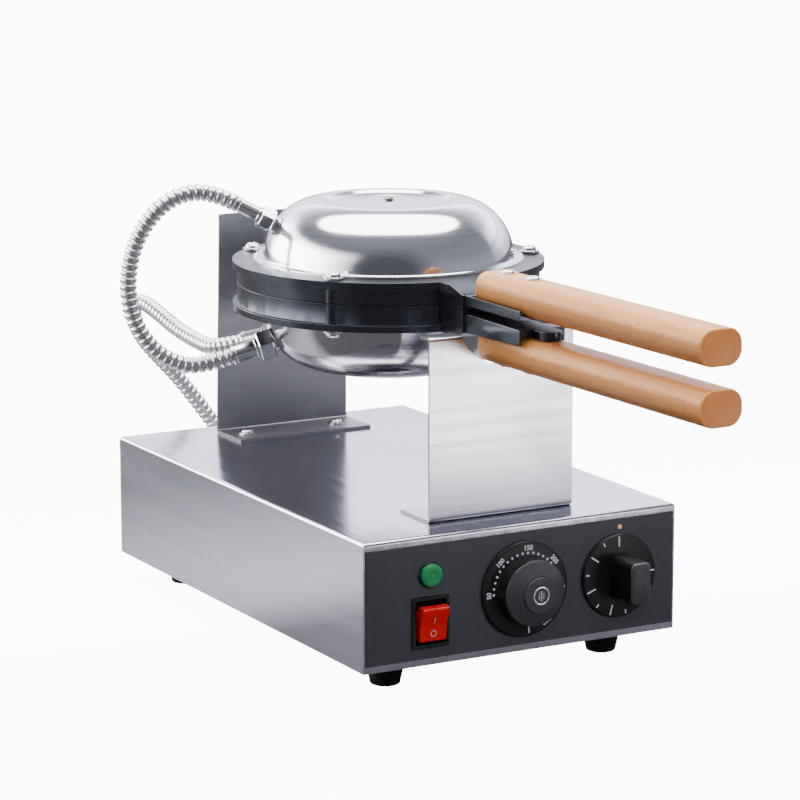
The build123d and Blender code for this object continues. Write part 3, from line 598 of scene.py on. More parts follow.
def eased(outline, steps=4):
    """Rounds the corners of an outline. A point is (a, b), or (a, b, radius) where its corner is round."""
    made = [tuple(outline[0][:2])]
    for before, here, after in zip(outline, outline[1:], outline[2:]):
        corner = Vector(here[:2])
        if len(here) < 3:
            made.append(tuple(corner))
            continue
        back, on = Vector(before[:2]) - corner, Vector(after[:2]) - corner
        cut = min(here[2] / math.tan(back.angle(on) / 2), 0.48 * back.length, 0.48 * on.length)
        start, end = corner + back.normalized() * cut, corner + on.normalized() * cut
        for step in range(steps + 1):
            share = step / steps
            made.append(tuple(start.lerp(corner, share).lerp(corner.lerp(end, share), share)))
    made.append(tuple(outline[-1][:2]))
    return made


def circle(axis, steps):
    """Directions round an axis, at equal angles."""
    side = Vector(axis).normalized().orthogonal().normalized()
    other = Vector(axis).normalized().cross(side)
    angles = (2 * math.pi * step / steps for step in range(steps))
    return [side * math.cos(a) + other * math.sin(a) for a in angles]


def turn(bm, outline, centre, axis, steps=72):
    """Turns an outline of (radius, distance along the axis) in millimetres about an axis."""
    along, ways = Vector(axis).normalized(), circle(axis, steps)
    rings = []
    for radius, reach in outline:
        at = Vector(centre) + along * reach * MM
        if radius < 1e-4:
            rings.append([bm.verts.new(at)])
            continue
        rings.append([bm.verts.new(at + way * radius * MM) for way in ways])
    for near, far in zip(rings, rings[1:]):
        for step in range(steps):
            after = (step + 1) % steps
            corners = [near[step % len(near)], near[after % len(near)]]
            corners += [far[after % len(far)], far[step % len(far)]]
            corners = tuple(dict.fromkeys(corners))
            if len(corners) > 2:
                bm.faces.new(corners)


def turned(outline, centre, axis=FRONT, steps=96):
    """A turned piece from one outline, which starts and ends on the axis."""
    bm = bmesh.new()
    turn(bm, outline, centre, axis, steps)
    return mesh_of(bm)


def skin(bm, rings):
    """Joins rings of points into one skin with flat ends."""
    loops = [[bm.verts.new(point) for point in ring] for ring in rings]
    for near, far in zip(loops, loops[1:]):
        for step in range(len(near)):
            after = (step + 1) % len(near)
            bm.faces.new((near[step], near[after], far[after], far[step]))
    bm.faces.new(loops[0])
    bm.faces.new(loops[-1])


def rounded_ring(width, height, corner, steps=6):
    """Points round a rectangle with round corners."""
    points = []
    for quarter, (sx, sy) in enumerate(((1, 1), (-1, 1), (-1, -1), (1, -1))):
        for step in range(steps + 1):
            angle = math.pi / 2 * (quarter + step / steps)
            reach_x, reach_y = width / 2 - corner, height / 2 - corner
            points.append((sx * reach_x + corner * math.cos(angle), sy * reach_y + corner * math.sin(angle)))
    return points


def softened(node, name, finish, slot, body, bevel=None):
    """A merged copy of a CAD node with its edges a little rounded, which stands for the node."""
    bm = bmesh.new()
    bm.from_mesh(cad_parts[node].data)
    bmesh.ops.remove_doubles(bm, verts=bm.verts, dist=2e-6)
    bmesh.ops.dissolve_limit(bm, angle_limit=math.radians(0.4), verts=bm.verts, edges=bm.edges)
    made = show(name, shaded(bm, 32), body, finish, slot, node)
    width = sizes().edge_softness if bevel is None else bevel
    if width:
        softer = made.modifiers.new("Soft Edges", "BEVEL")
        softer.width = width
        softer.segments = 2
        softer.limit_method = "ANGLE"
        softer.angle_limit = math.radians(35)
        softer.miter_outer = "MITER_ARC"
        softer.harden_normals = True
        softer.use_clamp_overlap = True
    return made


# Geometry Nodes trees


def finish_tree(tree, given, out, geometry):
    """Ends a tree in plain geometry with one material."""
    real = put(tree, "GeometryNodeRealizeInstances", {"Geometry": geometry})
    put(tree, "GeometryNodeSetMaterial", {"Geometry": real, "Material": given["Finish"]}).link(out[0])
    return tree


def rib_tree():
    """A ribbed tube along a curve: round crests with narrow grooves between them."""
    inputs = {
        "Route": ("Geometry", None),
        "Diameter": ("Float", 12.4 * MM),
        "Rib Pitch": ("Float", 5 * MM),
        "Rib Depth": ("Float", 1 * MM),
        "Finish": ("Material", None),
    }
    tree, given, out = new_group("Ribbed Hose", "GeometryNodeTree", inputs, {"Hose": "Geometry"})
    pitch = given["Rib Pitch"]
    links = {"Curve": given["Route"], "Length": pitch / 8.0}
    fine = put(tree, "GeometryNodeResampleCurve", links, mode="LENGTH")
    ribs = put(tree, "GeometryNodeSplineParameter", output="Length") / pitch
    off_crest = abs(ribs.math("FRACT") * 2.0 - 1.0)
    radius = given["Diameter"] / 2.0 - off_crest**3.0 * given["Rib Depth"]
    sized = put(tree, "GeometryNodeSetCurveRadius", {"Curve": fine, "Radius": radius})
    ring = put(tree, "GeometryNodeCurvePrimitiveCircle", {"Resolution": 28, "Radius": 1.0})
    links = {"Curve": sized, "Profile Curve": ring, "Scale": radius, "Fill Caps": True}
    tube = put(tree, "GeometryNodeCurveToMesh", links)
    smooth = put(tree, "GeometryNodeSetShadeSmooth", {"Geometry": tube})
    return finish_tree(tree, given, out, smooth)


def marks_tree():
    """Marks in an arc on a plane that faces the front: dots or ticks that point at the middle."""
    inputs = {
        "Ignored": ("Geometry", None),
        "Middle": ("Vector", (0, 0, 0)),
        "Count": ("Int", 10),
        "Radius": ("Float", 25 * MM),
        "First Angle": ("Float", 0.0),
        "Angle Step": ("Float", 0.1),
        "Mark Width": ("Float", 1 * MM),
        "Mark Length": ("Float", 5 * MM),
        "Mark Height": ("Float", 0.2 * MM),
        "Sides": ("Int", 4),
        "Finish": ("Material", None),
    }
    tree, given, out = new_group("Marks in an Arc", "GeometryNodeTree", inputs, {"Marks": "Geometry"})
    angle = given["First Angle"] + put(tree, "GeometryNodeInputIndex") * given["Angle Step"]
    x, z = (angle.math(wave) * given["Radius"] for wave in ("COSINE", "SINE"))
    place = combined(tree, x, 0.0, z).vector("ADD", given["Middle"])
    points = put(tree, "GeometryNodePoints", {"Count": given["Count"], "Position": place})
    disc = {"Vertices": given["Sides"], "Radius": math.sqrt(0.5), "Depth": 1.0}
    disc = put(tree, "GeometryNodeMeshCylinder", disc)
    for turn_by in ((0, 0, math.pi / 4), (math.pi / 2, 0, 0)):
        disc = put(tree, "GeometryNodeTransform", {"Geometry": disc, "Rotation": turn_by})
    size = combined(tree, given["Mark Length"], given["Mark Height"], given["Mark Width"])
    spin = combined(tree, 0.0, angle * -1.0)
    links = {"Points": points, "Instance": disc, "Rotation": spin, "Scale": size}
    return finish_tree(tree, given, out, put(tree, "GeometryNodeInstanceOnPoints", links))


def screw_tree():
    """A screw with its washer at each point, its head towards the point's facing attribute."""
    inputs = {
        "Places": ("Geometry", None),
        "Head Radius": ("Float", 4 * MM),
        "Head Height": ("Float", 2.5 * MM),
        "Washer Radius": ("Float", 6 * MM),
        "Washer Thickness": ("Float", 1 * MM),
        "Sides": ("Int", 32),
        "Slot Share": ("Float", 0.6),
        "Finish": ("Material", None),
    }
    tree, given, out = new_group("Screws at Points", "GeometryNodeTree", inputs, {"Screws": "Geometry"})
    links = {"Segments": given["Sides"], "Rings": 20, "Radius": 1.0}
    sphere = put(tree, "GeometryNodeMeshUVSphere", links)
    x, y, z = put(tree, "GeometryNodeInputPosition").axes()
    reach = (x * x + y * y) ** 0.5
    narrow = abs(x).math("MINIMUM", abs(y))
    in_slot = narrow.math("LESS_THAN", 0.13) * reach.math("LESS_THAN", given["Slot Share"])
    height = z.math("MAXIMUM") ** 0.6 * (in_slot * -0.45 + 1.0)
    links = {"Geometry": sphere, "Position": combined(tree, x, y, height)}
    head = put(tree, "GeometryNodeSetPosition", links)
    thick = given["Washer Thickness"]
    size = combined(tree, given["Head Radius"], given["Head Radius"], given["Head Height"])
    links = {"Geometry": head, "Translation": combined(tree, z=thick), "Scale": size}
    head = put(tree, "GeometryNodeTransform", links)
    head = put(tree, "GeometryNodeMergeByDistance", {"Geometry": head, "Distance": 1e-6})
    head = put(tree, "GeometryNodeSetShadeSmooth", {"Geometry": head})
    links = {"Vertices": 40, "Radius": given["Washer Radius"], "Depth": thick}
    washer = put(tree, "GeometryNodeMeshCylinder", links)
    links = {"Geometry": washer, "Translation": combined(tree, z=thick * 0.5)}
    washer = put(tree, "GeometryNodeTransform", links)
    both = add_node(tree, "GeometryNodeJoinGeometry")
    head.link(both.inputs[0])
    washer.link(both.inputs[0])
    way = put(tree, "GeometryNodeInputNamedAttribute", {"Name": "facing"}, data_type="FLOAT_VECTOR")
    turned_to = put(tree, "FunctionNodeAlignRotationToVector", {"Vector": way}, axis="Z")
    points = put(tree, "GeometryNodeMeshToPoints", {"Mesh": given["Places"]})
    links = {"Points": points, "Instance": Value(both.outputs[0]), "Rotation": turned_to}
    return finish_tree(tree, given, out, put(tree, "GeometryNodeInstanceOnPoints", links))


def grown(source, tree_name, values):
    """The plain mesh that a Geometry Nodes tree makes from an object, which is then removed."""
    makers = {"Ribbed Hose": rib_tree, "Marks in an Arc": marks_tree, "Screws at Points": screw_tree}
    tree = bpy.data.node_groups.get(tree_name) or makers[tree_name]()
    modifier = source.modifiers.new(tree_name, "NODES")
    modifier.node_group = tree
    items = tree.interface.items_tree
    keys = {item.name: item.identifier for item in items if getattr(item, "in_out", "") == "INPUT"}
    for label, value in values.items():
        modifier[keys[label.replace("_", " ")]] = value
    mesh = evaluated(source)
    source.modifiers.remove(modifier)
    bpy.data.objects.remove(source)
    return mesh


def at_points(places):
    """A bare mesh with a point at each place, and the way that its screw faces."""
    mesh = bpy.data.meshes.new("Places")
    mesh.from_pydata([place for place, _ in places], [], [])
    ways = mesh.attributes.new("facing", "FLOAT_VECTOR", "POINT")
    for item, (_, way) in zip(ways.data, places):
        item.vector = way
    return linked("Places", mesh)


def screws(name, body, places, *replaces, finish="Bright Steel", **values):
    """Screws with washers at these places, as one piece on a body."""
    s = sizes()
    given = {
        "Head_Radius": s.screw_radius,
        "Head_Height": s.screw_height,
        "Washer_Radius": s.washer_radius,
        "Finish": material(finish),
        **values,
    }
    show(name, grown(at_points(places), "Screws at Points", given), body, finish, "fastener", *replaces)


def marks(name, body, slot, centre, depth, finish="White Ink", **values):
    """Printed marks in an arc on a knob or the panel."""
    given = {
        "Middle": Vector(centre) + FRONT * depth,
        "Mark_Height": 0.24 * MM,
        "Finish": material(finish),
        **values,
    }
    show(name, grown(at_points([]), "Marks in an Arc", given), body, finish, slot)


def numerals(name, body, lines):
    """Numerals on a plane that faces the front. Each line is (text, place, turn in degrees, height)."""
    joined = bmesh.new()
    for text, place, turn_by, height in lines:
        curve = bpy.data.curves.new(name, "FONT")
        curve.body = text
        curve.size = height
        curve.align_x = "CENTER"
        curve.align_y = "CENTER"
        curve.extrude = 0.1 * MM
        curve.offset = 0.12 * MM
        curve.resolution_u = 3
        made = linked(name, curve)
        made.location = place
        made.rotation_euler = (math.pi / 2, -math.radians(turn_by), 0)
        mesh = evaluated(made)
        mesh.transform(made.matrix_world)
        joined.from_mesh(mesh)
        bpy.data.objects.remove(made)
        bpy.data.meshes.remove(mesh)
    show(name, mesh_of(joined), body, "White Ink", "lens")


# Operators, one for each piece or group of like pieces


def hose(name, node, route, body):
    """A ribbed steel hose along its route's spline."""
    curve = bpy.data.curves.new(name + "_route", "CURVE")
    curve.dimensions = "3D"
    curve.resolution_u = 16
    spline = curve.splines.new("NURBS")
    spline.points.add(len(route) - 1)
    for point, place in zip(spline.points, route):
        point.co = (*place, 1.0)
    spline.order_u = 3
    spline.use_endpoint_u = True
    line = linked(name + "_route", curve)
    followed = evaluated(line)
    path = [tuple(vertex.co) for vertex in followed.vertices]
    bpy.data.meshes.remove(followed)
    length = sum((Vector(b) - Vector(a)).length for a, b in zip(path, path[1:]))
    s = sizes()
    pitch = length / max(1, round(length / s.rib_pitch))
    values = {"Diameter": s.hose_diameter, "Rib Pitch": pitch, "Rib Depth": s.rib_depth}
    mesh = grown(line, "Ribbed Hose", {**values, "Finish": material("Hose Steel")})
    made = show(name, mesh, body, "Hose Steel", "hose", node)


class WAFFLE_OT_hoses(bpy.types.Operator):
    """Makes the two ribbed steel hoses."""

    bl_idname = "waffle.hoses"
    bl_label = "Hoses"

    def execute(self, context):
        hose("link_hose", "hose_link", LINK_ROUTE, "lower_half")
        hose("feed_hose", "hose_feed", FEED_ROUTE, "base")
        return {"FINISHED"}


def round_mould(angle):
    """The level direction at this angle in degrees round the mould."""
    return Vector((math.cos(math.radians(angle)), math.sin(math.radians(angle)), 0))


def gland_seat(side, base, angle, height, lean):
    """Where a gland goes through a dome's wall, and its direction."""
    narrowing = (WALL_UPPER_RADIUS - WALL_FOOT_RADIUS) * height / WALL_UPPER_HEIGHT
    reach = (WALL_FOOT_RADIUS + narrowing) * MM
    outward = (math.cos(math.radians(angle)), math.sin(math.radians(angle)))
    lean = math.radians(lean)
    place = Vector((reach * outward[0], MOULD.y + reach * outward[1], base + side * height * MM))
    return place, Vector((outward[0] * math.cos(lean), outward[1] * math.cos(lean), side * math.sin(lean)))


def gland_mesh(place, way, neck, nut, ferrule_radius, ferrule, flat=20):
    """A neck, a chamfered hexagon this wide across its flats, and a ferrule with a lip at each end."""
    bm = bmesh.new()
    turn(bm, [(0, -6), (5.6, -6), (5.6, neck + 0.5), (0, neck + 0.5)], place, way, 48)
    along = Vector(way).normalized()
    corner = flat / 2 / math.cos(math.pi / 6)
    rings = []
    for reach, share in ((neck, 0.93), (neck + 0.8, 1), (neck + nut - 0.8, 1), (neck + nut, 0.93)):
        rings.append([place + along * reach * MM + side * corner * share * MM for side in circle(way, 6)])
    skin(bm, rings)
    start, r = neck + nut, ferrule_radius
    end = start + ferrule
    outline = [(0, start - 0.5), (r + 0.7, start - 0.5), (r + 0.7, start + 2, 0.4), (r, start + 2.5)]
    outline += [(r, end - 3), (r + 0.5, end - 2.5, 0.3), (r + 0.5, end, 0.4), (0, end)]
    turn(bm, eased(outline, 2), place, way, 48)
    return mesh_of(bm, 24)


class WAFFLE_OT_glands(bpy.types.Operator):
    """Makes the hose glands on the domes and the base."""

    bl_idname = "waffle.glands"
    bl_label = "Glands"

    def execute(self, context):
        upper = gland_seat(1, RIM_TOP, 160, 26, 28)
        lower = gland_seat(-1, RIM_FOOT, 160, 24, 17)
        feed = gland_seat(-1, RIM_FOOT, 130, 24, 17)
        wall = (Vector((10 * MM, BASE_BACK, 62 * MM)), -FRONT)
        cable = (Vector((75 * MM, BASE_BACK, 50 * MM)), -FRONT)
        steel, black = ("Bright Steel", "fitting"), ("Black Moulding", "black_plastic")
        for name, node, body, seat, measures, finish in (
            ("upper_link_gland", "link_gland_upper", "upper_half", upper, (4.5, 10, 5.2, 20, 15), steel),
            ("lower_link_gland", "link_gland_lower", "lower_half", lower, (3.5, 11, 6.6, 20, 21), steel),
            ("dome_feed_gland", "feed_gland_dome", "lower_half", feed, (3.5, 11, 6.8, 20), steel),
            ("wall_feed_gland", "feed_gland_base", "base", wall, (1, 9, 6.8, 14), steel),
            ("mains_gland", "cable_gland", "base", cable, (1, 9, 7.5, 8), black),
        ):
            show(name, gland_mesh(*seat, *measures), body, *finish, node)
        return {"FINISHED"}


def bowl(start, reach, height, steps=18):
    """A quarter of an ellipse, from a cover's flat top to its foot."""
    angles = (math.pi / 2 * step / steps for step in range(steps + 1))
    return [(start + reach * math.sin(a), height * math.cos(a)) for a in angles]


class WAFFLE_OT_domes(bpy.types.Operator):
    """Makes the two spun covers, with their round shoulders and dished tops."""

    bl_idname = "waffle.domes"
    bl_label = "Domes"

    def execute(self, context):
        outline = [(0, 42.4), (20, 41.9, 20), (43, 40.9, 4), (47, 43.1, 2), (51, 43.3)]
        outline += bowl(51, 40.4, 43.3)[1:-1] + [(91.5, 1.4, 4), (98.2, 1.1), (98.2, 0), (90.2, 0)]
        outline += bowl(51, 39.2, 42.1)[::-1] + [(47.4, 42, 2), (43.4, 40, 4), (0, 39.8)]
        outline = eased(outline, 5)
        for name, node, base, side, body, finish in (
            ("upper_cover", "dome_upper", RIM_TOP, 1, "upper_half", "Spun Steel"),
            # The lower cover takes the darker steel as painted shade.
            ("lower_cover", "dome_lower", RIM_FOOT, -1, "lower_half", "Shaded Spun Steel"),
        ):
            mesh = turned(outline, (0, MOULD.y, base), (0, 0, side), 144)
            show(name, mesh, body, finish, "polished", node)
        return {"FINISHED"}


class WAFFLE_OT_castings(bpy.types.Operator):
    """Makes the two castings with soft edges, and the screw bosses round their drums."""

    bl_idname = "waffle.castings"
    bl_label = "Castings"

    def execute(self, context):
        for half in ("upper", "lower"):
            casting = softened("mould_" + half, half + "_casting", "Dark Casting", "casting", half + "_half")
            for vertex in casting.data.vertices:
                if vertex.co.y < TANG_START * MM:
                    vertex.co.y += TANG_CUT * MM
        for half, side, low, high in (("upper", 1, 0.6, 11.5), ("lower", -1, 0.4, 14.8)):
            outline = [(0, low), (BOSS_RADIUS, low), (BOSS_RADIUS, high), (0, high)]
            bm = bmesh.new()
            for angle in RIM_SCREW_ANGLES:
                turn(bm, outline, MOULD + round_mould(angle) * BOSS_REACH * MM, (0, 0, side), 32)
            show(half + "_bosses", mesh_of(bm), half + "_half", "Dark Casting", "casting")
        return {"FINISHED"}


def screw_sizes(*millimetres):
    """A screw's head radius, head height, washer radius and washer thickness."""
    names = ("Head_Radius", "Head_Height", "Washer_Radius", "Washer_Thickness")
    return {name: value * MM for name, value in zip(names, millimetres)}


class WAFFLE_OT_screws(bpy.types.Operator):
    """Makes the screws of the rims, handles and domes, and the bracket bolts."""

    bl_idname = "waffle.screws"
    bl_label = "Screws"

    def execute(self, context):
        for half, side, rim, grip in (("upper", 1, RIM_TOP, GRIPS[0]), ("lower", -1, RIM_FOOT, GRIPS[1])):
            _, _, body, back, front = grip
            up = (0, 0, side)
            centre = Vector((0, MOULD.y, rim + side * 0.5 * MM))
            places = [(centre + round_mould(angle) * RIM_SCREW_REACH * MM, up) for angle in RIM_SCREW_ANGLES]
            screws(half + "_rim_screws", body, places, Washer_Thickness=1.4 * MM)
            slope = (front[1] - back[1]) / (front[0] - back[0])
            places = []
            for y in HANDLE_SCREWS_Y:
                height = back[1] + slope * (y - back[0]) + side * HANDLE_SCREW_RISE
                places.append((Vector((0, y, height)) * MM, up))
            screws(half + "_handle_screws", body, places, **screw_sizes(5, 1.9, 6.6, 0.8))
            places = [(Vector((0, MOULD.y, rim + side * COVER_SCREW_HEIGHT * MM)), up)]
            small = screw_sizes(3.4, 1.6, 4.2, 0.5)
            screws(half + "_dome_screws", body, places, finish="Dark Steel", **small)
        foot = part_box("bracket_bolts")[0].z
        places = [(Vector((x * MM, y * MM, foot)), (0, 0, 1)) for x in STAND_BOLTS_X for y in STAND_BOLTS_Y]
        bolts = screw_sizes(4.6, 2.6, 6.4, 1)
        screws("stand_bolts", "base", places, "bracket_bolts", Slot_Share=0.0, **bolts)
        return {"FINISHED"}


class WAFFLE_OT_handles(bpy.types.Operator):
    """Makes the two beech handles."""

    bl_idname = "waffle.handles"
    bl_label = "Handles"

    def execute(self, context):
        ends = sizes().handle_end
        curve = [ends * (1 - math.cos(math.pi / 2 * step / 5)) for step in range(6)]
        for name, node, body, back, front in GRIPS:
            start, end = Vector((0, back[0], back[1])) * MM, Vector((0, front[0], front[1])) * MM
            way, length = (end - start).normalized(), (end - start).length
            rise = way.cross(RIGHT).normalized()
            if rise.z < 0:
                rise = -rise
            stations = curve + [length * share for share in (0.25, 0.5, 0.75)]
            stations += [length - place for place in reversed(curve)]
            rings = []
            for place in stations:
                near = min(place, length - place, ends)
                inset = ends - math.sqrt(max(0.0, ends**2 - (ends - near) ** 2))
                width, height = HANDLE_WIDTH * MM - 2 * inset, HANDLE_HEIGHT * MM - 2 * inset
                ring = rounded_ring(width, height, HANDLE_CORNER * MM - inset, 8)
                rings.append([start + way * place + RIGHT * a + rise * b for a, b in ring])
            bm = bmesh.new()
            skin(bm, rings)
            show(name, mesh_of(bm), body, "Oiled Beech", "beech", node)
        return {"FINISHED"}


class WAFFLE_OT_temperature_knob(bpy.types.Operator):
    """Makes the temperature knob with its printed scale."""

    bl_idname = "waffle.temperature_knob"
    bl_label = "Temperature Knob"

    def execute(self, context):
        body, black = "temperature_control", "black_plastic"
        face, badge = DIAL_FACE * MM, (23.4, 24.15)
        outline = [(0, 0), (34, 0, 0.4), (34, 2.4, 0.9), (32.6, DIAL_FACE, 0.5), (23.9, DIAL_FACE, 0.6)]
        outline += [(23.4, 15.4), (0, 15.4)]
        show("dial", turned(eased(outline), DIAL), body, "Black Moulding", black, "temperature_knob")
        # The grip's front takes the lighter knob plastic as painted light.
        outline = [(0, 15.3), (23.4, 15.3), (23, 16.8, 1), (13.4, 22.2, 0.6), (12.9, 21.8, 0.4)]
        outline += [(12.7, 23.9, 0.6), (8, 23.9), (0, 23.7)]
        show("dial_grip", turned(eased(outline), DIAL), body, "Knob Grip", black)
        ring = [(5.2, 23.5), (6.6, 23.5), (6.6, 24.3, 0.2), (5.2, 24.3, 0.2), (5.2, 23.5)]
        bm = bmesh.new()
        turn(bm, eased(ring, 2), DIAL, FRONT, 64)
        for x, width, height in ((-1.9, 0.8, 5.4), (0, 1.5, 7.4), (1.9, 0.8, 5.4)):
            ring = rounded_ring(width * MM, height * MM, 0.3 * MM, 2)
            skin(bm, [[DIAL + Vector((x * MM + a, -reach * MM, b)) for a, b in ring] for reach in badge])
        show("dial_badge", mesh_of(bm), body, "Bright Steel", "fastener")
        dots = {"Count": sizes().dial_dots, "Radius": 25.9 * MM, "Sides": 12}
        dots.update(First_Angle=math.radians(DIAL_FIRST_ANGLE), Angle_Step=math.radians(DOT_STEP))
        marks("dial_dots", body, "lens", DIAL, face, Mark_Width=1.3 * MM, Mark_Length=1.3 * MM, **dots)
        pointer = {"Count": 1, "Radius": 29 * MM, "First_Angle": math.radians(POINTER_ANGLE)}
        marks("dial_pointer", body, "lens", DIAL, face, **pointer)
        lines = []
        for place, text in enumerate(("50", "100", "150", "200", "250", "300")):
            angle = DIAL_FIRST_ANGLE - NUMERAL_STEP * place
            way = Vector((math.cos(math.radians(angle)), 0, math.sin(math.radians(angle))))
            lines.append((text, DIAL + way * 29.4 * MM + FRONT * DIAL_FACE * MM, angle - 90, 4.9 * MM))
        numerals("dial_numbers", body, lines)
        return {"FINISHED"}


class WAFFLE_OT_timer_knob(bpy.types.Operator):
    """Makes the timer knob with its ticks."""

    bl_idname = "waffle.timer_knob"
    bl_label = "Timer Knob"

    def execute(self, context):
        body, black = "timer_control", "black_plastic"
        outline = [(0, 0), (30, 0, 0.4), (30, 2, 0.8), (29, TIMER_FACE, 0.5), (0, TIMER_FACE)]
        show("timer_dial", turned(eased(outline), TIMER), body, "Black Moulding", black, "timer_knob")
        side = ((2.5, 18, 32, 6), (6, 17, 31, 5), (16, 16.4, 30.6, 4.4), (29, 15.6, 30, 4))
        face = ((28.9, 15.6, 30, 4), (30.4, 15, 29.4, 3.8), (31.2, 13, 27.4, 3))
        # The front face takes the lighter knob plastic as painted light; the sides keep the black moulding.
        for name, finish, sections in (
            ("timer_grip", "Black Moulding", side),
            ("timer_face", "Knob Grip", face),
        ):
            bm = bmesh.new()
            rings = []
            for reach, width, height, corner in sections:
                ring = rounded_ring(width * MM, height * MM, corner * MM)
                rings.append([TIMER + Vector((a, -reach * MM, b)) for a, b in ring])
            skin(bm, rings)
            show(name, mesh_of(bm, 45), body, finish, black)
        for name, count, radius, first, length in (
            ("timer_long_ticks", 6, 24.8, 92, 7.5),
            ("timer_short_ticks", 5, 26.8, 119, 3),
        ):
            values = {"Count": count, "Radius": radius * MM, "Mark_Length": length * MM}
            values.update(First_Angle=math.radians(first), Angle_Step=math.radians(TICK_STEP))
            marks(name, body, "lens", TIMER, TIMER_FACE * MM, **values)
        return {"FINISHED"}


class WAFFLE_OT_switch(bpy.types.Operator):
    """Makes the red rocker, its marks and its frame."""

    bl_idname = "waffle.switch"
    bl_label = "Switch"

    def execute(self, context):
        softened("switch_frame", "switch_surround", "Black Moulding", "black_plastic", "base", 0.5 * MM)
        pivot, tilt = Vector(ROCKER_PIVOT) * MM, math.radians(ROCKER_TILT)
        inward, up = Vector((0, math.cos(tilt), math.sin(tilt))), Vector((0, -math.sin(tilt), math.cos(tilt)))
        side = [(-3, -8.6), (-6, -11.4), (-11.2, -11.2, 0.8), (-9.9, 0, 14), (-12.4, 13.7, 1.6)]
        side += [(-6, 13.4), (1.5, 4.6), (1.5, -4.6), (-3, -8.6)]
        side = [pivot + inward * a * MM + up * b * MM for a, b in eased(side, 5)[:-1]]
        width, soft = ROCKER_HALF_WIDTH, 0.5
        rings = []
        for x, inset in ((-width, soft), (soft - width, 0), (width - soft, 0), (width, soft)):
            rings.append([point.lerp(pivot, inset / 12) + Vector((x * MM, 0, 0)) for point in side])
        bm = bmesh.new()
        skin(bm, rings)
        show("rocker_cap", mesh_of(bm), "switch_rocker", "Red Rocker", "rocker_red", "rocker")

        valley = pivot - inward * 9.9 * MM
        crests = pivot + (inward * -12.4 + up * 13.7) * MM, pivot + (inward * -11.2 - up * 11.2) * MM
        upper, lower = ((crest - valley).normalized() for crest in crests)
        low, high = -0.05, 0.12
        bm = bmesh.new()
        out = RIGHT.cross(upper)
        out = out if out.y < 0 else -out
        centre = valley.lerp(crests[0], 0.3)
        bar = [centre + RIGHT * a + upper * b for a, b in rounded_ring(0.8 * MM, 4.6 * MM, 0.2 * MM, 2)]
        skin(bm, [[point + out * reach * MM for point in bar] for reach in (low, high)])
        out = RIGHT.cross(lower)
        out = out if out.y < 0 else -out
        ring = [(1.7, low), (2.4, low), (2.4, high), (1.7, high), (1.7, low)]
        turn(bm, ring, valley.lerp(crests[1], 0.5), out, 32)
        show("switch_marks", mesh_of(bm), "switch_rocker", "Pink Ink", "rocker_red")
        return {"FINISHED"}


class WAFFLE_OT_lamp(bpy.types.Operator):
    """Makes the pilot lamp."""

    bl_idname = "waffle.lamp"
    bl_label = "Pilot Lamp"

    def execute(self, context):
        bezel = [(0, 0), (9.4, 0), (9.4, 0.9, 0.6), (8.8, 1.6, 0.3), (8.3, 1.6), (8.3, 0.6), (0, 0.6)]
        bezel = turned(eased(bezel, 3), LAMP, steps=72)
        show("lamp_ring", bezel, "base", "Black Moulding", "black_plastic", "lamp_bezel")
        lens = [(0, 0.7), (8.1, 0.7), (8.1, 3.9, 1.3), (6.2, 5.2, 0.8), (4, 5.3), (3.2, 4.7), (0, 4.9)]
        show("lamp_cap", turned(eased(lens), LAMP, steps=72), "base", "Green Lens", "lens", "lamp_lens")
        return {"FINISHED"}


class WAFFLE_OT_housing(bpy.types.Operator):
    """Makes the housing, its panel, the brackets and the feet with soft edges."""

    bl_idname = "waffle.housing"
    bl_label = "Housing and Stand"

    def execute(self, context):
        made = {}
        for node, name, finish, slot, body, bevel in (
            ("base_housing", "housing", "Housing Steel", "stainless", "base", 0.0),
            ("front_panel", "control_panel", "Panel Coating", "panel", "base", 0.2),
            ("front_bracket", "front_stand", "Bracket Steel", "stainless", "base", 0.0),
            # The rear stand takes the darker steel as painted shade.
            ("rear_bracket", "rear_stand", "Shaded Bracket Steel", "stainless", "base", 0.0),
            ("hinge_pin", "pin", "Bright Steel", "fastener", "lower_half", 0.6),
            ("swivel_nut", "rear_nut", "Bright Steel", "fastener", "lower_half", 0.6),
        ):
            made[name] = softened(node, name, finish, slot, body, bevel * MM)
        low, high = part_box("rear_bracket")
        for vertex in made["rear_stand"].data.vertices:
            share = (vertex.co.z - low.z) / (high.z - low.z)
            if vertex.co.x < -STAND_SIDES_X * MM:
                vertex.co.x += (STAND_LEFT_SHIFT[0] + STAND_LEFT_SHIFT[1] * share) * MM
            elif vertex.co.x > STAND_SIDES_X * MM:
                vertex.co.x += STAND_RIGHT_SHIFT * MM
        centre = (78.5 * MM, PANEL_FRONT, 99.5 * MM)
        dot = {"Count": 1, "Radius": 0.0, "Mark_Width": 2.4 * MM, "Mark_Length": 2.4 * MM, "Sides": 16}
        marks("timer_dot", "base", "panel", centre, 0.0, "Orange Ink", **dot)
        foot = [(0, 0), (9.6, 0, 0.6), (10.6, 0.8, 0.4), (14.2, 17.2, 0.5), (14.8, 17.6, 0.4)]
        foot += [(14.8, 20), (0, 20)]
        bm = bmesh.new()
        for x in FEET_X:
            for y in FEET_Y:
                turn(bm, eased(foot, 3), Vector((x, y, 0)) * MM, (0, 0, 1), 48)
        show("feet", mesh_of(bm), "base", "Foot Rubber", "feet", "rubber_feet")
        return {"FINISHED"}


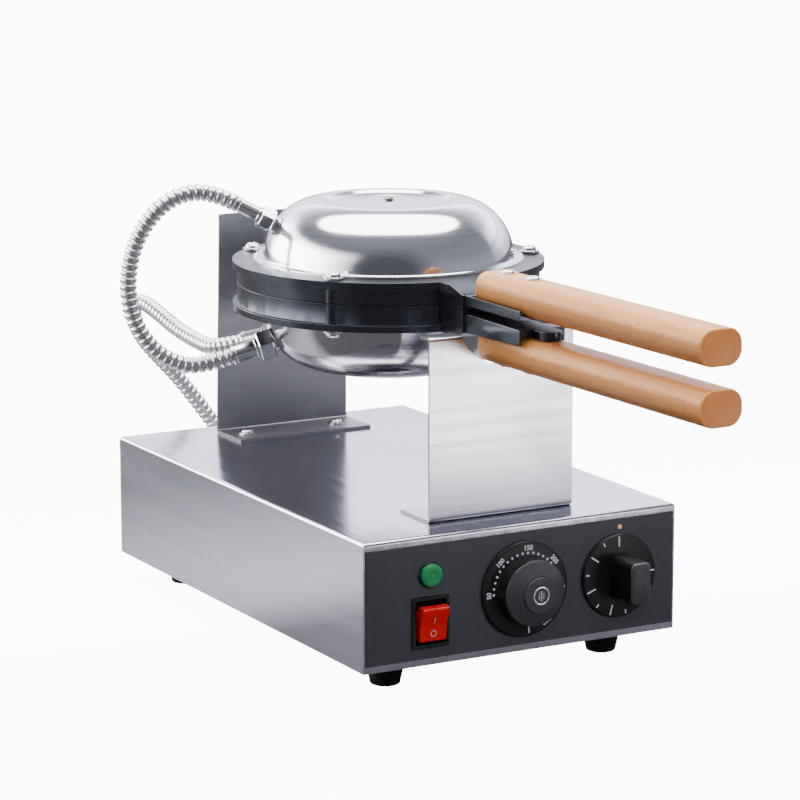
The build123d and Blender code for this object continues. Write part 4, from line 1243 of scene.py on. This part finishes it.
class WAFFLE_OT_inner_finishes(bpy.types.Operator):
    """Gives the inner and plain CAD pieces their materials."""

    bl_idname = "waffle.inner_finishes"
    bl_label = "Inner Finishes"

    def execute(self, context):
        finishes = {
            "base_plate": "Housing Steel",
            "swivel_shaft": "Bright Steel",
            "swivel_bush": "Bearing Brass",
            "thermostat_body": "Black Moulding",
            "timer_body": "Black Moulding",
            "thermostat_shaft": "Bright Steel",
            "timer_shaft": "Bright Steel",
            "terminal_block": "Glazed Ceramic",
            "element_upper": "Heated Steel",
            "element_lower": "Heated Steel",
        }
        for node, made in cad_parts.items():
            if not made.hide_render:
                made.data.materials.clear()
                made.data.materials.append(material(finishes[node]))
        return {"FINISHED"}


def tones(rise, steps):
    """A slightly blue grey that changes with the rise of a direction."""
    node = add_node(rise.tree, "ShaderNodeValToRGB", {0: rise})
    elements = node.color_ramp.elements
    for place, value in steps:
        step = elements.new(place) if place else elements[0]
        step.color = (0.95 * value, 0.96 * value, 1.13 * value, 1)
    elements.remove(elements[-1])
    return Value(node.outputs[0])


def lay_floor():
    """A floor that the camera sees white, and that polished pieces see dark in front and grey behind."""
    bm = bmesh.new()
    bmesh.ops.create_grid(bm, x_segments=1, y_segments=1, size=8.0)
    mesh = bpy.data.meshes.new("floor")
    bm.to_mesh(mesh)
    bm.free()
    made, tree, shader = new_material("Pale Floor", Roughness=0.8, Emission_Color=(1, 1, 1, 1))
    place = put(tree, "ShaderNodeTexCoord", output="Object")
    depth = place.vector("DOT_PRODUCT", (0.19, 0.98, 0), "Value")
    near = depth.spread(-0.04, 0.04).mix((0.05, 0.05, 0.055, 1), (0.36, 0.36, 0.38, 1))
    depth.spread(0.1, 0.42).mix(near, (0.05, 0.05, 0.053, 1)).link(shader.inputs["Base Color"])
    aside = place.axes()[0].spread(-1.2, -0.8, 1.0, 0.0) * depth.spread(-0.02, 0.06)
    glow = put(tree, "ShaderNodeLightPath", output="Is Glossy Ray") * aside
    seen = put(tree, "ShaderNodeLightPath", output="Is Camera Ray")
    (seen * 11.0 + glow * 0.7).link(shader.inputs["Emission Strength"])
    mesh.materials.append(made)
    linked("floor", mesh)


def light_room():
    """The room that polished pieces mirror, with a bright window to the left, and the softboxes."""
    world = bpy.data.worlds.new("Studio")
    world.use_nodes = True
    bpy.context.scene.world = world
    tree = world.node_tree
    way = put(tree, "ShaderNodeTexCoord", output="Generated")
    rise = way.axes()[2]
    away, beside = (way.vector("DOT_PRODUCT", axis, "Value") for axis in (AWAY, LEFTWARDS))
    room = away.spread(-0.92, -0.68).mix(tones(rise, CAMERA_SIDE), tones(rise, BESIDE))
    room = away.spread(0.35, 0.7).mix(room, tones(rise, FAR_SIDE))
    window = put(tree, "ShaderNodeLightPath", output="Is Glossy Ray")
    edges = ((away, -0.85, -0.1, 0), (away, 0.6, 0.8, 1), (beside, 0.3, 0.5, 0), (rise, 0.36, 0.55, 1))
    for value, low, high, to_low in edges:
        window = window * value.spread(low, high, to_low, 1 - to_low)
    seen = put(tree, "ShaderNodeLightPath", output="Is Camera Ray")
    seen.mix(window.mix(room, WINDOW), WHITE_SEEN).link(tree.nodes["Background"].inputs["Color"])
    for name, shape, place, target, width, height, power, mirrored in SOFTBOXES:
        light = bpy.data.lights.new(name, "AREA")
        light.shape = shape
        light.size, light.size_y = width, height
        light.energy = power
        made = linked(name, light)
        made.location = place
        made.visible_glossy = mirrored
        made.rotation_euler = (Vector(target) - Vector(place)).to_track_quat("-Z", "Y").to_euler()


class WAFFLE_OT_stage(bpy.types.Operator):
    """Makes the pale floor, the soft studio light and the camera."""

    bl_idname = "waffle.stage"
    bl_label = "Stage"

    def execute(self, context):
        lay_floor()
        light_room()
        camera = bpy.data.cameras.new("camera")
        camera.lens = LENS
        camera.sensor_width = FILM_WIDTH
        camera.clip_start, camera.clip_end = 0.1, 30.0
        yaw, pitch = math.radians(YAW), math.radians(PITCH)
        ahead = (math.sin(yaw) * math.cos(pitch), math.cos(yaw) * math.cos(pitch), -math.sin(pitch))
        eye = linked("camera", camera)
        eye.location = EYE
        eye.rotation_euler = Vector(ahead).to_track_quat("-Z", "Y").to_euler()
        context.scene.camera = eye
        return {"FINISHED"}


class WAFFLE_PT_panel(bpy.types.Panel):
    """Lists the sizes, the colours and the operators."""

    bl_idname = "WAFFLE_PT_panel"
    bl_label = "Waffle Maker"
    bl_space_type = "VIEW_3D"
    bl_region_type = "UI"
    bl_category = "Waffle Maker"

    def draw(self, context):
        for group in (context.scene.waffle_sizes, context.scene.waffle_colours):
            column = self.layout.column()
            for name in group.__annotations__:
                column.prop(group, name)
        for operator in OPERATORS:
            self.layout.operator(operator.bl_idname)


OPERATORS = (
    WAFFLE_OT_hoses,
    WAFFLE_OT_glands,
    WAFFLE_OT_domes,
    WAFFLE_OT_castings,
    WAFFLE_OT_screws,
    WAFFLE_OT_handles,
    WAFFLE_OT_temperature_knob,
    WAFFLE_OT_timer_knob,
    WAFFLE_OT_switch,
    WAFFLE_OT_lamp,
    WAFFLE_OT_housing,
    WAFFLE_OT_inner_finishes,
    WAFFLE_OT_stage,
)
CLASSES = (WaffleSizes, WaffleColours, *OPERATORS, WAFFLE_PT_panel)


def register():
    for made in CLASSES:
        bpy.utils.register_class(made)
    bpy.types.Scene.waffle_sizes = PointerProperty(type=WaffleSizes)
    bpy.types.Scene.waffle_colours = PointerProperty(type=WaffleColours)


def unregister():
    del bpy.types.Scene.waffle_colours
    del bpy.types.Scene.waffle_sizes
    for made in reversed(CLASSES):
        bpy.utils.unregister_class(made)


def main():
    """Makes every piece in order."""
    register()
    for operator in OPERATORS:
        area, name = operator.bl_idname.split(".")
        getattr(getattr(bpy.ops, area), name)()


if __name__ == "__main__":
    main()
